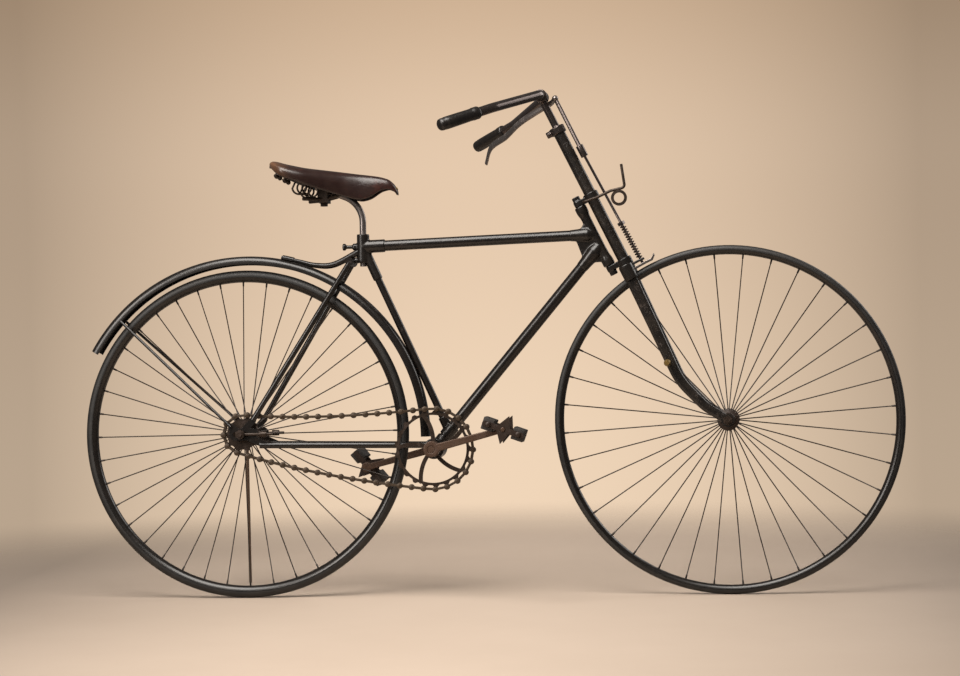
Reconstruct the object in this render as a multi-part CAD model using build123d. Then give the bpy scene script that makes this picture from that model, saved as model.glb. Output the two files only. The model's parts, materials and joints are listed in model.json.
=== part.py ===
from build123d import *
from math import asin, atan2, cos, degrees, hypot, pi, radians, sin, tan
import os

# Safety bicycle with direct steering, solid tyres, fixed-gear chain drive and a spoon brake.
# Millimetres. X forward, Y to the rider's left, Z up from the ground.
# Every piece is first drawn on an upright bicycle whose rear axle is at X = 0, Y = 0,
# then the steered pieces are turned, and the whole leans onto its prop rod.

# Shared allowances
overrun = 10.0
seam = 0.3
half_eighth_turn = 22.5
path_steps = 40
solver_steps = 12

# Stance
lean_angle = 2.0
steer_turn = -2.5

# Wheels
rear_wheel_radius = 355.6
front_wheel_radius = 372.0
wheelbase = 1042.5
rear_tyre_width = 24.0
front_tyre_width = 18.0
rim_wall = 2.4
rim_lap_share = 0.25
rear_spoke_count = 40
front_spoke_count = 36
rear_spoke_start = 0.6
front_spoke_start = 4.0
spoke_radius = 1.05

# Hubs and axles
axle_radius = 5.0
bearing_gap = 0.3
hub_barrel_radius = 13.0
hub_flange_radius = 23.0
hub_flange_thickness = 3.0
front_flange_place = 25.0
rear_flange_place = 28.0
hub_end_radius = 16.0
front_hub_half = 36.0
rear_hub_half = 45.0
cone_radius = 9.0
nut_radius = 10.5
nut_height = 9.0
axle_proud = 4.0

# Chain drive
chain_pitch = 25.75
chain_links = 48
sprocket_teeth = 10
chainwheel_teeth = 21
chain_line = 48.0
drive_fall_angle = 5.1
slack_rear = 6.0
slack_front = 4.6
chain_start = 7.0
roller_radius = 3.2
link_end_radius = 6.0
link_waist_radius = 2.7
link_corner_angle = 60.0
chain_inner_gap = 6.4
link_plate = 1.6
tooth_thickness = chain_inner_gap - 2 * seam
tooth_gap = 0.7
tooth_depth = 4.6
tooth_root_share = 0.31
tooth_tip_share = 0.11
sprocket_boss_radius = 10.0
chainwheel_window_radius = 72.5
chainwheel_boss_radius = 18.0
chainwheel_arm_width = 8.5
chainwheel_arms = 5
chainwheel_arm_start = 105.0
chainwheel_arm_bow = 11.0
chainwheel_arm_twist = 20.0

# Bottom bracket, cranks and pedals
bracket_radius = 22.5
bracket_half = 34.0
crank_axle_radius = 7.5
crank_length = 166.5
crank_angle = 14.5
crank_place = 76.0
crank_thickness = 12.0
crank_boss_radius = 17.0
crank_eye_radius = 11.0
crank_root_width = 17.0
crank_tip_width = 13.0
pedal_width = 82.0
pedal_length = 91.0
pedal_gap = 6.0
pedal_plate = 2.5
pedal_plate_height = 12.0
pedal_fin_half = 16.0
pedal_fin_lean = 4.0
pedal_fin_reach = 31.0
pedal_boss_radius = 9.0
pedal_spindle_radius = 5.0
pedal_rubber_length = 25.0
pedal_rubber_height = 26.0
right_pedal_tip = 19.5
left_pedal_tip = 50.0

# Steering head: the neck axis leans back, and the column stands a little ahead of it
head_angle = 26.0
neck_back = 278.7
neck_rise = 397.9
neck_x = wheelbase - neck_back
neck_z = front_wheel_radius + neck_rise
neck_half = 71.0
neck_radius = 10.0
neck_boss_radius = 13.0
neck_boss_height = 20.0
neck_socket = 60.0
column_offset = 32.3
column_radius = 12.7
column_bottom = -88.0
column_top = 239.0
stem_radius = 8.2
pivot_radius = 5.5
pivot_fit = 0.05
pivot_depth = 15.0
pivot_head_radius = 9.0
pivot_head_height = 10.0
arm_thickness = 12.0
arm_width = 20.0
collar_wall = 4.0
collar_height = 16.0
ear_reach = 10.0
ear_radius = 7.0
ear_bolt_half = 12.0
ear_bolt_radius = 3.5

# Frame tubes
top_tube_radius = 11.5
down_tube_radius = 12.2
seat_tube_radius = 7.8
seat_stay_radius = 6.0
chain_stay_radius = 6.5
top_tube_along = 3.5
down_tube_along = -23.0
tube_inset = 24.0
socket_wall = 3.5
socket_lip = 2.5
seat_lug_x = 261.2
seat_lug_rise = 401.6
seat_lug_z = rear_wheel_radius + seat_lug_rise
seat_lug_radius = 13.5
seat_lug_up = 27.0
seat_lug_down = 35.0
seat_lug_top = seat_lug_z + seat_lug_up
seat_lug_bottom = seat_lug_z - seat_lug_down
lug_socket = 48.0
seat_socket = 78.0
seat_tube_inset = 46.0
seat_foot_reach = 48.0
seat_foot_length = 28.0
seat_foot_socket = 34.0
bracket_socket = 31.0
stay_top_back = 26.2
stay_top_drop = 33.4
stay_top_x = seat_lug_x - stay_top_back
stay_top_z = seat_lug_z - stay_top_drop
stay_top_place = 23.0
stay_ear_radius = 9.0
stay_web_radius = 7.0
clamp_bolt_length = 45.0
clamp_bolt_radius = 4.0
clamp_head_radius = 8.0
clamp_head_height = 7.0
dropout_place = 64.0
dropout_thickness = 5.0
dropout_length = 62.0
dropout_height = 26.0
dropout_lobe = 14.0
dropout_slot = 36.0
chain_stay_start = 40.0
chain_stay_front_place = 28.5
chain_stay_drop = 24.0
chain_stay_lift = 8.0
seat_stay_foot = 26.0
seat_stay_rise = 30.0
bridge_radius = 4.0
adjuster_radius = 3.0
adjuster_length = 69.0
adjuster_body_start = 42.0
adjuster_body_length = 15.0
adjuster_body_radius = 6.3
adjuster_thickness = 6.0
adjuster_eye_radius = 9.5

# Mudguard
mudguard_clear = 40.4
mudguard_radius = rear_wheel_radius + mudguard_clear
guard_centre_ahead = 5.0
guard_centre_drop = 11.0
mudguard_sheet = 1.5
mudguard_half_width = 22.0
mudguard_side = 17.0
mudguard_shoulder = 7.0
mudguard_start = 0.0
mudguard_end = 150.2
mudguard_stay_angle = 136.7
mudguard_stay_radius = 3.0
mudguard_stay_clear = 1.2
guard_lobe_back = 21.0
guard_lobe_rise = 16.0
guard_rod_radius = 4.0
guard_rod_drop = 9.0
guard_rod_bend = 30.0
guard_rod_rise = 21.6
# Each row: angle round the guard's centre, then height above the guard as a share of the rise
guard_rod_shares = ((62.8, 1.0), (67.8, 0.16), (73.0, 0.0), (79.0, 0.0))

# Seat post and saddle
post_radius = 7.1
post_below = 42.5
post_bend_rise = 94.3
post_bottom = seat_lug_z - post_below
post_bend_z = seat_lug_z + post_bend_rise
post_bend_radius = 60.0
post_slope = 21.0
post_reach = 108.0
saddle_rear = 62.0
saddle_length = 278.0
saddle_rise = 188.8
saddle_top = seat_lug_z + saddle_rise
saddle_depth = 91.5
saddle_half_width = 98.0
leather = 4.5
saddle_clamp_x = 177.0
saddle_rail_radius = 4.0
saddle_rail_place = 15.0
saddle_rail_drop = 85.0
saddle_rail_z = saddle_top - saddle_rail_drop
rail_nose_back = 37.0
rail_nose_place = 6.0
rail_nose_drop = 53.3
rail_nose_z = saddle_top - rail_nose_drop
rail_bend = 60.0
nose_block = 10.0
spring_x = 138.0
spring_place = 44.0
spring_radius = 15.0
spring_height = 31.0
spring_turns = 5
cantle_back = 17.0
cantle_rise = 20.0
cantle_sheet = 4.0
cantle_half = 46.0
clamp_wall = 3.0
clamp_length = 22.0

# Handlebar
bar_radius = 10.0
bar_lug_along = 320.0
bar_lug_ahead = 33.8
bar_lug_place = 25.0
bar_lug_radius = 14.0
bar_straight = 20.0
bar_bend_back = 83.5
bar_bend_place = 192.0
bar_bend_drop = 40.0
bar_bends = [30.0, 60.0]
grip_back = 94.5
grip_place = 84.0
grip_drop = 39.7
grip_radius = 13.5
grip_cap = 5.0
grip_start_share = 0.27

# Fork
crown_height = 34.0
crown_bridge = 10.5
crown_arch_half = 17.0
crown_depth = 30.0
crown_offset = 31.0
blade_place = 46.0
blade_top_ahead = 30.3
blade_depth = 25.0
blade_tip_depth = 20.0
blade_thickness = 14.0
blade_knee_along = -360.0
blade_knee_ahead = 23.0
blade_sweep_along = -432.0
blade_sweep_ahead = 46.5
blade_bends = [150.0, 90.0]
blade_eye_radius = 14.0
peg_along = -314.0
peg_ahead = 18.0
peg_radius = 8.0
peg_length = 34.0

# Brake
brake_rod_offset = 58.3
brake_rod_lean = 6.5
brake_upper_radius = 4.5
brake_lower_radius = 3.0
brake_body_radius = 8.0
brake_nut_half = 13.0
brake_rod_joint = 175.5
brake_collar = 7.0
brake_spring_radius = 5.5
brake_spring_length = 82.0
brake_spring_turns = 12
brake_spring_wire = 1.2
brake_gap = 5.5
spoon_width = 26.0
spoon_thickness = 4.0
spoon_reach = 14.0
spoon_ahead_angle = 3.2
spoon_behind_angle = 3.0
spoon_tip_angle = 1.3
spoon_tip_rise = 8.0
guide_sheet = 5.0
lever_below = 17.0
lever_along = bar_lug_along - lever_below
lever_radius = 5.0
lever_blade_width = 12.0
lever_blade_thickness = 6.5
lever_step = 12.0
lever_root_place = 36.0
lever_bend = 12.0
lever_back = 149.0
lever_place = 200.0
lever_drop = 125.0
# Each row: back from the lug, place to the left and drop below the lug, as shares of the three above
lever_shares = ((0.35, 0.40, 0.35), (0.63, 0.65, 0.57), (0.89, 0.85, 0.73), (1.0, 1.0, 1.0))

# Lamp bracket
lamp_radius = 3.0
lamp_place = 35.0
lamp_along = 108.0
lamp_ahead = 121.4
lamp_bend = 8.0
lamp_ring_radius = 17.0
lamp_ring_along = 46.3
lamp_ring_ahead = 84.8
# Each row: along the neck axis, ahead of it and place to the right, as shares of the tip's
lamp_shares = (
    (0.695, 0.10, 0.30),
    (0.68, 0.11, 0.86),
    (0.634, 0.37, 1.0),
    (0.627, 0.62, 1.0),
    (0.557, 0.872, 1.0),
    (1.0, 1.0, 1.0),
)

# Prop rod
prop_radius = 3.4
prop_eye = 6.0
prop_lobe = 17.0
prop_foot_x = -49.0
prop_foot_y = 262.0


def rod(start, end, radius, end_radius=None):
    """A round bar, or a tapered one, from one point to another."""
    seat = Plane(origin=Vector(*start), z_dir=Vector(*end) - Vector(*start))
    length = (Vector(*end) - Vector(*start)).length
    middle = (Align.CENTER, Align.CENTER, Align.MIN)
    if end_radius is None:
        return seat * Cylinder(radius, length, align=middle)
    return seat * Cone(radius, end_radius, length, align=middle)


def hex_rod(start, end, radius):
    """A six-sided bar from one point to another."""
    seat = Plane(origin=Vector(*start), z_dir=Vector(*end) - Vector(*start))
    length = (Vector(*end) - Vector(*start)).length
    return extrude(seat * RegularPolygon(radius, 6), amount=length)


def bent(points, bends, radius):
    """A round bar along straight runs joined by arcs."""
    path = FilletPolyline(*points, radius=bends)
    seat = Plane(origin=path @ 0, z_dir=path % 0)
    return sweep(seat * Circle(radius), path=path)


def side_plane(place):
    """The plane of a side view at a distance to the left, with X to the right and Z up."""
    return Plane(origin=(0, place, 0), x_dir=(1, 0, 0), z_dir=(0, -1, 0))


def side_plate(shape, place, thickness):
    """A flat shape drawn in the side view, given a thickness centred on its place."""
    return extrude(side_plane(place + thickness / 2) * shape, amount=thickness)


def outline(points):
    return make_face(Polyline(*points, close=True))


def across(x, z, start, end, radius):
    """A round bar that lies along Y."""
    return rod((x, start, z), (x, end, z), radius)


def turned(points):
    """A ring about the Y axis from an outline of radius and place."""
    return revolve(outline(points), axis=Axis.Y)


def at_rear(shape):
    return Pos(0, 0, rear_wheel_radius) * shape


def at_front(shape):
    return Pos(wheelbase, 0, front_wheel_radius) * shape


def head(along, ahead, place=0):
    """A point by its distance up the neck axis, ahead of it, and to the left."""
    back, up = sin(radians(head_angle)), cos(radians(head_angle))
    return (neck_x - along * back + ahead * up, place, neck_z + along * up + ahead * back)


def head_plane(along, ahead):
    """A plane square to the neck axis, with its X forward."""
    back, up = sin(radians(head_angle)), cos(radians(head_angle))
    return Plane(origin=head(along, ahead), x_dir=(up, 0, back), z_dir=(-back, 0, up))


def polar(radius, angle):
    return (radius * cos(radians(angle)), radius * sin(radians(angle)))


# Chain geometry: the bracket stands where the slack loop uses up all its links
sprocket_pitch_radius = chain_pitch / (2 * sin(pi / sprocket_teeth))
chainwheel_pitch_radius = chain_pitch / (2 * sin(pi / chainwheel_teeth))


def arc_points(centre, radius, start, end):
    """Close points along an arc, from one angle to another."""
    points = []
    for number in range(path_steps + 1):
        x, z = polar(radius, start + (end - start) * number / path_steps)
        points.append((centre[0] + x, centre[1] + z))
    return points


def slack_points(start, start_heading, end, end_heading):
    """Close points along a hanging run, with its headings where it leaves both wheels."""
    start_x, start_z = cos(radians(start_heading)), sin(radians(start_heading))
    end_x, end_z = cos(radians(end_heading)), sin(radians(end_heading))
    gap_x, gap_z = end[0] - start[0], end[1] - start[1]
    reach = (gap_x * end_z - gap_z * end_x) / (start_x * end_z - start_z * end_x)
    corner = (start[0] + start_x * reach, start[1] + start_z * reach)
    points = []
    for number in range(path_steps + 1):
        share = number / path_steps
        near, middle, far = (1 - share) ** 2, 2 * share * (1 - share), share**2
        points.append(tuple(start[i] * near + corner[i] * middle + end[i] * far for i in range(2)))
    return points


def chain_path(distance):
    """The closed loop of the chain, forward along its upper run from the rear wheel's sprocket."""
    tilt = degrees(asin((chainwheel_pitch_radius - sprocket_pitch_radius) / distance))
    upper, lower = tilt - drive_fall_angle, -tilt - drive_fall_angle
    front_x, front_z = polar(distance, -drive_fall_angle)
    front_centre = (front_x, rear_wheel_radius + front_z)
    front_top, front_low = upper + slack_front + 90, lower + slack_front - 90
    front = arc_points(front_centre, chainwheel_pitch_radius, front_top, front_low)
    rear_low, rear_top = lower - slack_rear - 90, upper - slack_rear - 270
    rear = arc_points((0, rear_wheel_radius), sprocket_pitch_radius, rear_low, rear_top)
    top_run = slack_points(rear[-1], upper - slack_rear, front[0], upper + slack_front)
    low_run = slack_points(front[-1], lower + slack_front, rear[0], lower - slack_rear)
    return top_run + front[1:] + low_run[1:] + rear[1:]


def path_length(points):
    return sum(hypot(end[0] - start[0], end[1] - start[1]) for start, end in zip(points, points[1:]))


def centre_distance():
    """The distance between the toothed wheels that takes up the whole chain."""
    distance = chain_pitch * chain_links / 2
    for _ in range(solver_steps):
        distance += (chain_pitch * chain_links - path_length(chain_path(distance))) / 2
    return distance


drive_length = centre_distance()
bracket_x = drive_length * cos(radians(drive_fall_angle))
bracket_z = rear_wheel_radius - drive_length * sin(radians(drive_fall_angle))


def tyre_section(radius, width):
    """The eight-sided section of a tyre, flat on the tread."""
    ring = RegularPolygon(width / 2, 8, major_radius=False, rotation=half_eighth_turn)
    return Pos(radius - width / 2, 0) * ring


def tyre(radius, width):
    return revolve(tyre_section(radius, width), axis=Axis.Y)


def rim(radius, width):
    """A hollow rim that holds the inner part of the tyre."""
    centre = radius - width / 2
    ring = RegularPolygon(width / 2 + rim_wall, 8, major_radius=False, rotation=half_eighth_turn)
    outer = Pos(centre, 0) * ring
    lower = Pos(centre - width * rim_lap_share / 2, 0) * Rectangle(
        width + 2 * rim_wall, width + 4 * rim_wall, align=(Align.MAX, Align.CENTER)
    )
    return revolve((outer - tyre_section(radius, width)) & lower, axis=Axis.Y)


def spokes(radius, width, count, start, flange_place):
    """Straight spokes from alternate flanges to the middle of the rim."""
    rim_inner = radius - width - rim_wall
    pieces = []
    for number in range(count):
        angle = start + number * 360 / count
        side = flange_place if number % 2 else -flange_place
        near, far = polar(hub_flange_radius, angle), polar(rim_inner, angle)
        pieces.append(hex_rod((near[0], side, near[1]), (far[0], 0, far[1]), spoke_radius))
    return Compound(pieces)


def hub(half, flange_place, boss=0):
    """A hub shell with two flanges, bored for its axle, and a boss on the right for a sprocket."""
    bore = axle_radius + bearing_gap
    flange_in = flange_place - hub_flange_thickness / 2
    flange_out = flange_place + hub_flange_thickness / 2
    points = [
        (bore, -half - boss),
        (sprocket_boss_radius, -half - boss),
        (sprocket_boss_radius, -half),
        (hub_end_radius, -half),
        (hub_end_radius, -flange_out),
        (hub_flange_radius, -flange_out),
        (hub_flange_radius, -flange_in),
        (hub_barrel_radius, -flange_in),
        (hub_barrel_radius, flange_in),
        (hub_flange_radius, flange_in),
        (hub_flange_radius, flange_out),
        (hub_end_radius, flange_out),
        (hub_end_radius, half),
        (bore, half),
    ]
    if not boss:
        del points[1:3]
    return turned(points)


def toothed_outline(teeth, pitch_radius):
    """Teeth whose tips stay inside the rollers that ride over them."""
    tip = pitch_radius - roller_radius - tooth_gap
    root = tip - tooth_depth
    step = 360 / teeth
    points = []
    for number in range(teeth):
        middle = number * step
        points.append(polar(root, middle - step * tooth_root_share))
        points.append(polar(tip, middle - step * tooth_tip_share))
        points.append(polar(tip, middle + step * tooth_tip_share))
        points.append(polar(root, middle + step * tooth_root_share))
    return outline(points)


def wheel_nodes():
    rear = (rear_wheel_radius, rear_tyre_width)
    front = (front_wheel_radius, front_tyre_width)
    sprocket_boss = chain_line + tooth_thickness / 2 - rear_hub_half
    sprocket = toothed_outline(sprocket_teeth, sprocket_pitch_radius) - Circle(sprocket_boss_radius)
    return {
        "rear_tyre": at_rear(tyre(*rear)),
        "rear_rim": at_rear(rim(*rear)),
        "rear_spokes": at_rear(spokes(*rear, rear_spoke_count, rear_spoke_start, rear_flange_place)),
        "rear_hub": at_rear(hub(rear_hub_half, rear_flange_place, sprocket_boss)),
        "sprocket": at_rear(side_plate(sprocket, -chain_line, tooth_thickness)),
        "front_tyre": at_front(tyre(*front)),
        "front_rim": at_front(rim(*front)),
        "front_spokes": at_front(spokes(*front, front_spoke_count, front_spoke_start, front_flange_place)),
        "front_hub": at_front(hub(front_hub_half, front_flange_place)),
    }


def link_points():
    """The places of the chain's pins, evenly spaced round the loop."""
    path = chain_path(drive_length)
    step = path_length(path) / chain_links
    places, run, target = [], 0, chain_start
    for start, end in zip(path, path[1:]):
        length = hypot(end[0] - start[0], end[1] - start[1])
        while len(places) < chain_links and target <= run + length:
            share = (target - run) / length
            places.append(tuple(start[i] + (end[i] - start[i]) * share for i in range(2)))
            target += step
        run += length
    return places


def link_plate_outline(start, end):
    """A waisted plate about two pins, with few corners."""
    length = hypot(end[0] - start[0], end[1] - start[1])
    half_end = link_end_radius * sin(radians(link_corner_angle))
    points = [
        (-link_end_radius, 0),
        (-link_end_radius / 4, -half_end),
        (length / 2, -link_waist_radius),
        (length + link_end_radius / 4, -half_end),
        (length + link_end_radius, 0),
        (length + link_end_radius / 4, half_end),
        (length / 2, link_waist_radius),
        (-link_end_radius / 4, half_end),
    ]
    angle = degrees(atan2(end[1] - start[1], end[0] - start[0]))
    return Pos(*start) * Rot(0, 0, angle) * outline(points)


def chain():
    """A closed loop of inner and outer links, joined by their rollers."""
    places = link_points()
    half_gap = chain_inner_gap / 2
    pieces = []
    for number, start in enumerate(places):
        end = places[(number + 1) % chain_links]
        inset = half_gap + link_plate / 2 + (link_plate if number % 2 else 0)
        shape = link_plate_outline(start, end)
        for side in (-1, 1):
            pieces.append(side_plate(shape, side * inset - chain_line, link_plate))
        half = half_gap + 2 * link_plate
        near, far = (start[0], -half - chain_line, start[1]), (start[0], half - chain_line, start[1])
        pieces.append(hex_rod(near, far, roller_radius))
    return pieces[0].fuse(*pieces[1:])


def chainwheel():
    """A toothed ring on arms that all curve the same way."""
    ring = toothed_outline(chainwheel_teeth, chainwheel_pitch_radius) - Circle(chainwheel_window_radius)
    ring += Circle(chainwheel_boss_radius)
    root, tip = chainwheel_boss_radius / 2, chainwheel_window_radius + tooth_depth / 2
    for number in range(chainwheel_arms):
        start, middle = polar(root, -chainwheel_arm_twist), polar((root + tip) / 2, -chainwheel_arm_bow)
        arm = SlotArc(ThreePointArc(start, middle, polar(tip, 0)), chainwheel_arm_width)
        ring += Rot(0, 0, chainwheel_arm_start + number * 360 / chainwheel_arms) * arm
    ring -= Circle(crank_axle_radius)
    return Pos(bracket_x, 0, bracket_z) * side_plate(ring, -chain_line, tooth_thickness)


def crank(side, angle):
    """One crank: a boss on the axle, a tapering arm and an eye for the pedal."""
    arm = outline(
        [
            (0, -crank_root_width / 2),
            (crank_length, -crank_tip_width / 2),
            (crank_length, crank_tip_width / 2),
            (0, crank_root_width / 2),
        ]
    )
    shape = arm + Circle(crank_boss_radius) + Pos(crank_length, 0) * Circle(crank_eye_radius)
    shape -= Circle(crank_axle_radius)
    shape -= Pos(crank_length, 0) * Circle(pedal_spindle_radius)
    body = side_plate(Rot(0, 0, angle) * shape, side * crank_place, crank_thickness)
    inner = crank_place - crank_thickness / 2
    boss_start = chain_line + tooth_thickness / 2 if side < 0 else bracket_half + seam
    collar = across(0, 0, side * boss_start, side * inner, crank_boss_radius)
    collar -= across(0, 0, side * (boss_start - overrun), side * (inner + overrun), crank_axle_radius)
    return Pos(bracket_x, 0, bracket_z) * (body + collar)


def pedal_centre(angle):
    return (bracket_x + crank_length * cos(radians(angle)), bracket_z + crank_length * sin(radians(angle)))


def pedal_frame(side, angle, tip):
    """Two pointed end plates on a barrel that turns on its spindle."""
    x, z = pedal_centre(angle)
    inner = crank_place + crank_thickness / 2 + pedal_gap
    outer = inner + pedal_width
    top, bottom = (pedal_fin_lean, pedal_fin_reach), (pedal_fin_lean, -pedal_fin_reach)
    fins = [(-pedal_fin_half, 0), bottom, (pedal_fin_half, 0), top]
    plate = SlotOverall(pedal_length, pedal_plate_height) + outline(fins)
    plate += Circle(pedal_boss_radius + pedal_plate)
    bore = Circle(pedal_spindle_radius + bearing_gap)
    body = side_plate(plate - bore, side * (inner + pedal_plate / 2), pedal_plate)
    body += side_plate(plate - bore, side * (outer - pedal_plate / 2), pedal_plate)
    barrel = across(0, 0, side * inner, side * outer, pedal_boss_radius)
    start, end = side * (inner - overrun), side * (outer + overrun)
    body += barrel - across(0, 0, start, end, pedal_spindle_radius + bearing_gap)
    return Pos(x, 0, z) * Rot(0, tip, 0) * body


def pedal_rubbers(side, angle, tip):
    """Two rubber blocks between the end plates."""
    x, z = pedal_centre(angle)
    inner = crank_place + crank_thickness / 2 + pedal_gap
    length = pedal_width - 2 * pedal_plate
    middle = side * (inner + pedal_width / 2)
    shift = (pedal_length - pedal_rubber_length) / 2
    block = Box(pedal_rubber_length, length, pedal_rubber_height)
    block = chamfer(block.edges().filter_by(Axis.Y), pedal_plate)
    blocks = [Pos(x, 0, z) * Rot(0, tip, 0) * Pos(way * shift, middle, 0) * block for way in (-1, 1)]
    return Compound(blocks)


def crank_axle():
    """The axle through the bracket, from one crank to the other."""
    end = crank_place + crank_thickness / 2
    return across(bracket_x, bracket_z, -end, end, crank_axle_radius)


def pedal_spindle(side, angle):
    x, z = pedal_centre(angle)
    inner = crank_place - crank_thickness / 2
    outer = crank_place + crank_thickness / 2 + pedal_gap + pedal_width + seam
    return across(x, z, side * inner, side * (outer + pedal_plate), pedal_spindle_radius)


def drive_nodes():
    left_angle = crank_angle + 180
    return {
        "crank_axle": crank_axle(),
        "chainwheel": chainwheel(),
        "crank_right": crank(-1, crank_angle) + pedal_spindle(-1, crank_angle),
        "crank_left": crank(1, left_angle) + pedal_spindle(1, left_angle),
        "pedal_right_frame": pedal_frame(-1, crank_angle, right_pedal_tip),
        "pedal_right_rubbers": pedal_rubbers(-1, crank_angle, right_pedal_tip),
        "pedal_left_frame": pedal_frame(1, left_angle, left_pedal_tip),
        "pedal_left_rubbers": pedal_rubbers(1, left_angle, left_pedal_tip),
    }


def toward(start, end, distance):
    """The point at a distance from one point towards another."""
    share = distance / (Vector(*end) - Vector(*start)).length
    return tuple(start[i] + (end[i] - start[i]) * share for i in range(3))


def mirrored(make):
    """The right and left copies of a piece, made from a function of the side."""
    return Compound([make(-1), make(1)])


# Frame points
bracket_point = (bracket_x, 0, bracket_z)
lug_point = (seat_lug_x, 0, seat_lug_z)
neck_low_point = head(down_tube_along, 0)
neck_high_point = head(top_tube_along, 0)
seat_foot_point = toward(bracket_point, neck_low_point, seat_foot_reach)
chain_stay_end = (chain_stay_start, dropout_place, rear_wheel_radius - chain_stay_drop)
seat_stay_end = (seat_stay_foot, dropout_place, rear_wheel_radius + seat_stay_rise)


def top_tube():
    return rod(
        toward(neck_high_point, lug_point, tube_inset),
        toward(lug_point, neck_high_point, seat_lug_radius - socket_wall),
        top_tube_radius,
    )


def down_tube():
    return rod(
        toward(neck_low_point, bracket_point, tube_inset),
        toward(bracket_point, neck_low_point, bracket_radius - socket_wall),
        down_tube_radius,
    )


def seat_tube():
    tube = rod(toward(lug_point, seat_foot_point, seat_tube_inset), seat_foot_point, seat_tube_radius)
    return tube - down_tube()


def neck():
    """The forged head: a post between two pivot bosses, with sockets for two tubes."""
    body = rod(head(-neck_half, 0), head(neck_half, 0), neck_radius)
    for way in (-1, 1):
        body += rod(head(way * (neck_half - neck_boss_height), 0), head(way * neck_half, 0), neck_boss_radius)
    root = top_tube_radius + socket_wall
    mouth = top_tube_radius + socket_lip
    body += rod(neck_high_point, toward(neck_high_point, lug_point, neck_socket), root, mouth)
    root = down_tube_radius + socket_wall
    mouth = down_tube_radius + socket_lip
    body += rod(neck_low_point, toward(neck_low_point, bracket_point, neck_socket), root, mouth)
    for way in (-1, 1):
        inner, outer = head(way * (neck_half - pivot_depth), 0), head(way * (neck_half + overrun), 0)
        body -= rod(inner, outer, pivot_radius + pivot_fit)
    return body - top_tube() - down_tube()


def post_bore(radius):
    low, high = seat_lug_bottom - overrun, seat_lug_top + overrun
    return rod((seat_lug_x, 0, low), (seat_lug_x, 0, high), radius)


def seat_lug():
    """The lug that joins the top tube, seat tube and stays, and clamps the seat post."""
    body = rod((seat_lug_x, 0, seat_lug_bottom), (seat_lug_x, 0, seat_lug_top), seat_lug_radius)
    body += rod(lug_point, toward(lug_point, neck_high_point, lug_socket), top_tube_radius + socket_lip)
    body += rod(lug_point, toward(lug_point, seat_foot_point, seat_socket), seat_tube_radius + socket_lip)
    ear = stay_top_place - seat_stay_radius - seam
    body += across(stay_top_x, stay_top_z, -ear, ear, stay_ear_radius)
    body += rod((stay_top_x, 0, stay_top_z), (seat_lug_x, 0, stay_top_z + stay_ear_radius), stay_web_radius)
    bolt_start = lug_point
    bolt_end = (seat_lug_x - clamp_bolt_length, 0, seat_lug_z)
    body += rod(bolt_start, bolt_end, clamp_bolt_radius)
    body += hex_rod(toward(bolt_end, bolt_start, clamp_head_height), bolt_end, clamp_head_radius)
    body += hex_rod(bolt_start, toward(bolt_start, bolt_end, clamp_bolt_length / 2), clamp_head_radius)
    return body - post_bore(post_radius) - top_tube() - seat_tube()


def bottom_bracket():
    shell = across(bracket_x, bracket_z, -bracket_half, bracket_half, bracket_radius)
    socket_end = toward(bracket_point, neck_low_point, bracket_socket)
    shell += rod(bracket_point, socket_end, down_tube_radius + socket_lip)
    bore = across(
        bracket_x, bracket_z, -bracket_half - overrun, bracket_half + overrun, crank_axle_radius + bearing_gap
    )
    return shell - bore - down_tube()


def seat_tube_foot():
    """The collar on the down tube that holds the foot of the seat tube."""
    half = seat_foot_length / 2
    low = toward(seat_foot_point, bracket_point, half)
    high = toward(seat_foot_point, neck_low_point, half)
    body = rod(low, high, down_tube_radius + socket_lip)
    socket_end = toward(seat_foot_point, lug_point, seat_foot_socket)
    body += rod(seat_foot_point, socket_end, seat_tube_radius + socket_lip)
    return body - down_tube() - seat_tube()


def dropout_outline():
    """The slotted plate that holds the rear axle, with lobes for the stays."""
    plate = Pos(dropout_length / 2 - dropout_height, 0) * SlotOverall(dropout_length, dropout_height)
    for reach_x, reach_z in (
        (chain_stay_end[0] + dropout_lobe, -chain_stay_drop),
        (seat_stay_end[0], seat_stay_rise),
        (-guard_lobe_back, guard_lobe_rise),
    ):
        length = hypot(reach_x, reach_z)
        lobe = Pos(length / 2, 0) * SlotCenterToCenter(length, dropout_lobe)
        plate += Rot(0, 0, degrees(atan2(reach_z, reach_x))) * lobe
    return plate - SlotOverall(dropout_slot, 2 * (axle_radius + seam))


def dropout(side):
    return at_rear(side_plate(dropout_outline(), side * dropout_place, dropout_thickness))


def chain_stay(side):
    end = (chain_stay_end[0], side * chain_stay_end[1], chain_stay_end[2])
    front_x = bracket_x - bracket_radius + socket_wall
    front = (front_x, side * chain_stay_front_place, bracket_z + chain_stay_lift)
    stay = rod(end, front, chain_stay_radius) - dropout(side)
    return stay - across(bracket_x, bracket_z, -bracket_half, bracket_half, bracket_radius)


def seat_stay_line(side):
    top = (stay_top_x, side * stay_top_place, stay_top_z)
    end = (seat_stay_end[0], side * seat_stay_end[1], seat_stay_end[2])
    return top, end


def at_guard(shape):
    return Pos(guard_centre_ahead, 0, rear_wheel_radius - guard_centre_drop) * shape


def where_radius(start, end, radius):
    """The point on the way down a stay that lies at a radius round the guard's centre."""
    x, z = start[0] - guard_centre_ahead, start[2] - rear_wheel_radius + guard_centre_drop
    run = Vector(*end) - Vector(*start)
    way = run.normalized()
    square = way.X**2 + way.Z**2
    half = x * way.X + z * way.Z
    distance = (-half - (half**2 - square * (x**2 + z**2 - radius**2)) ** 0.5) / square
    return toward(start, end, distance)


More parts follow.
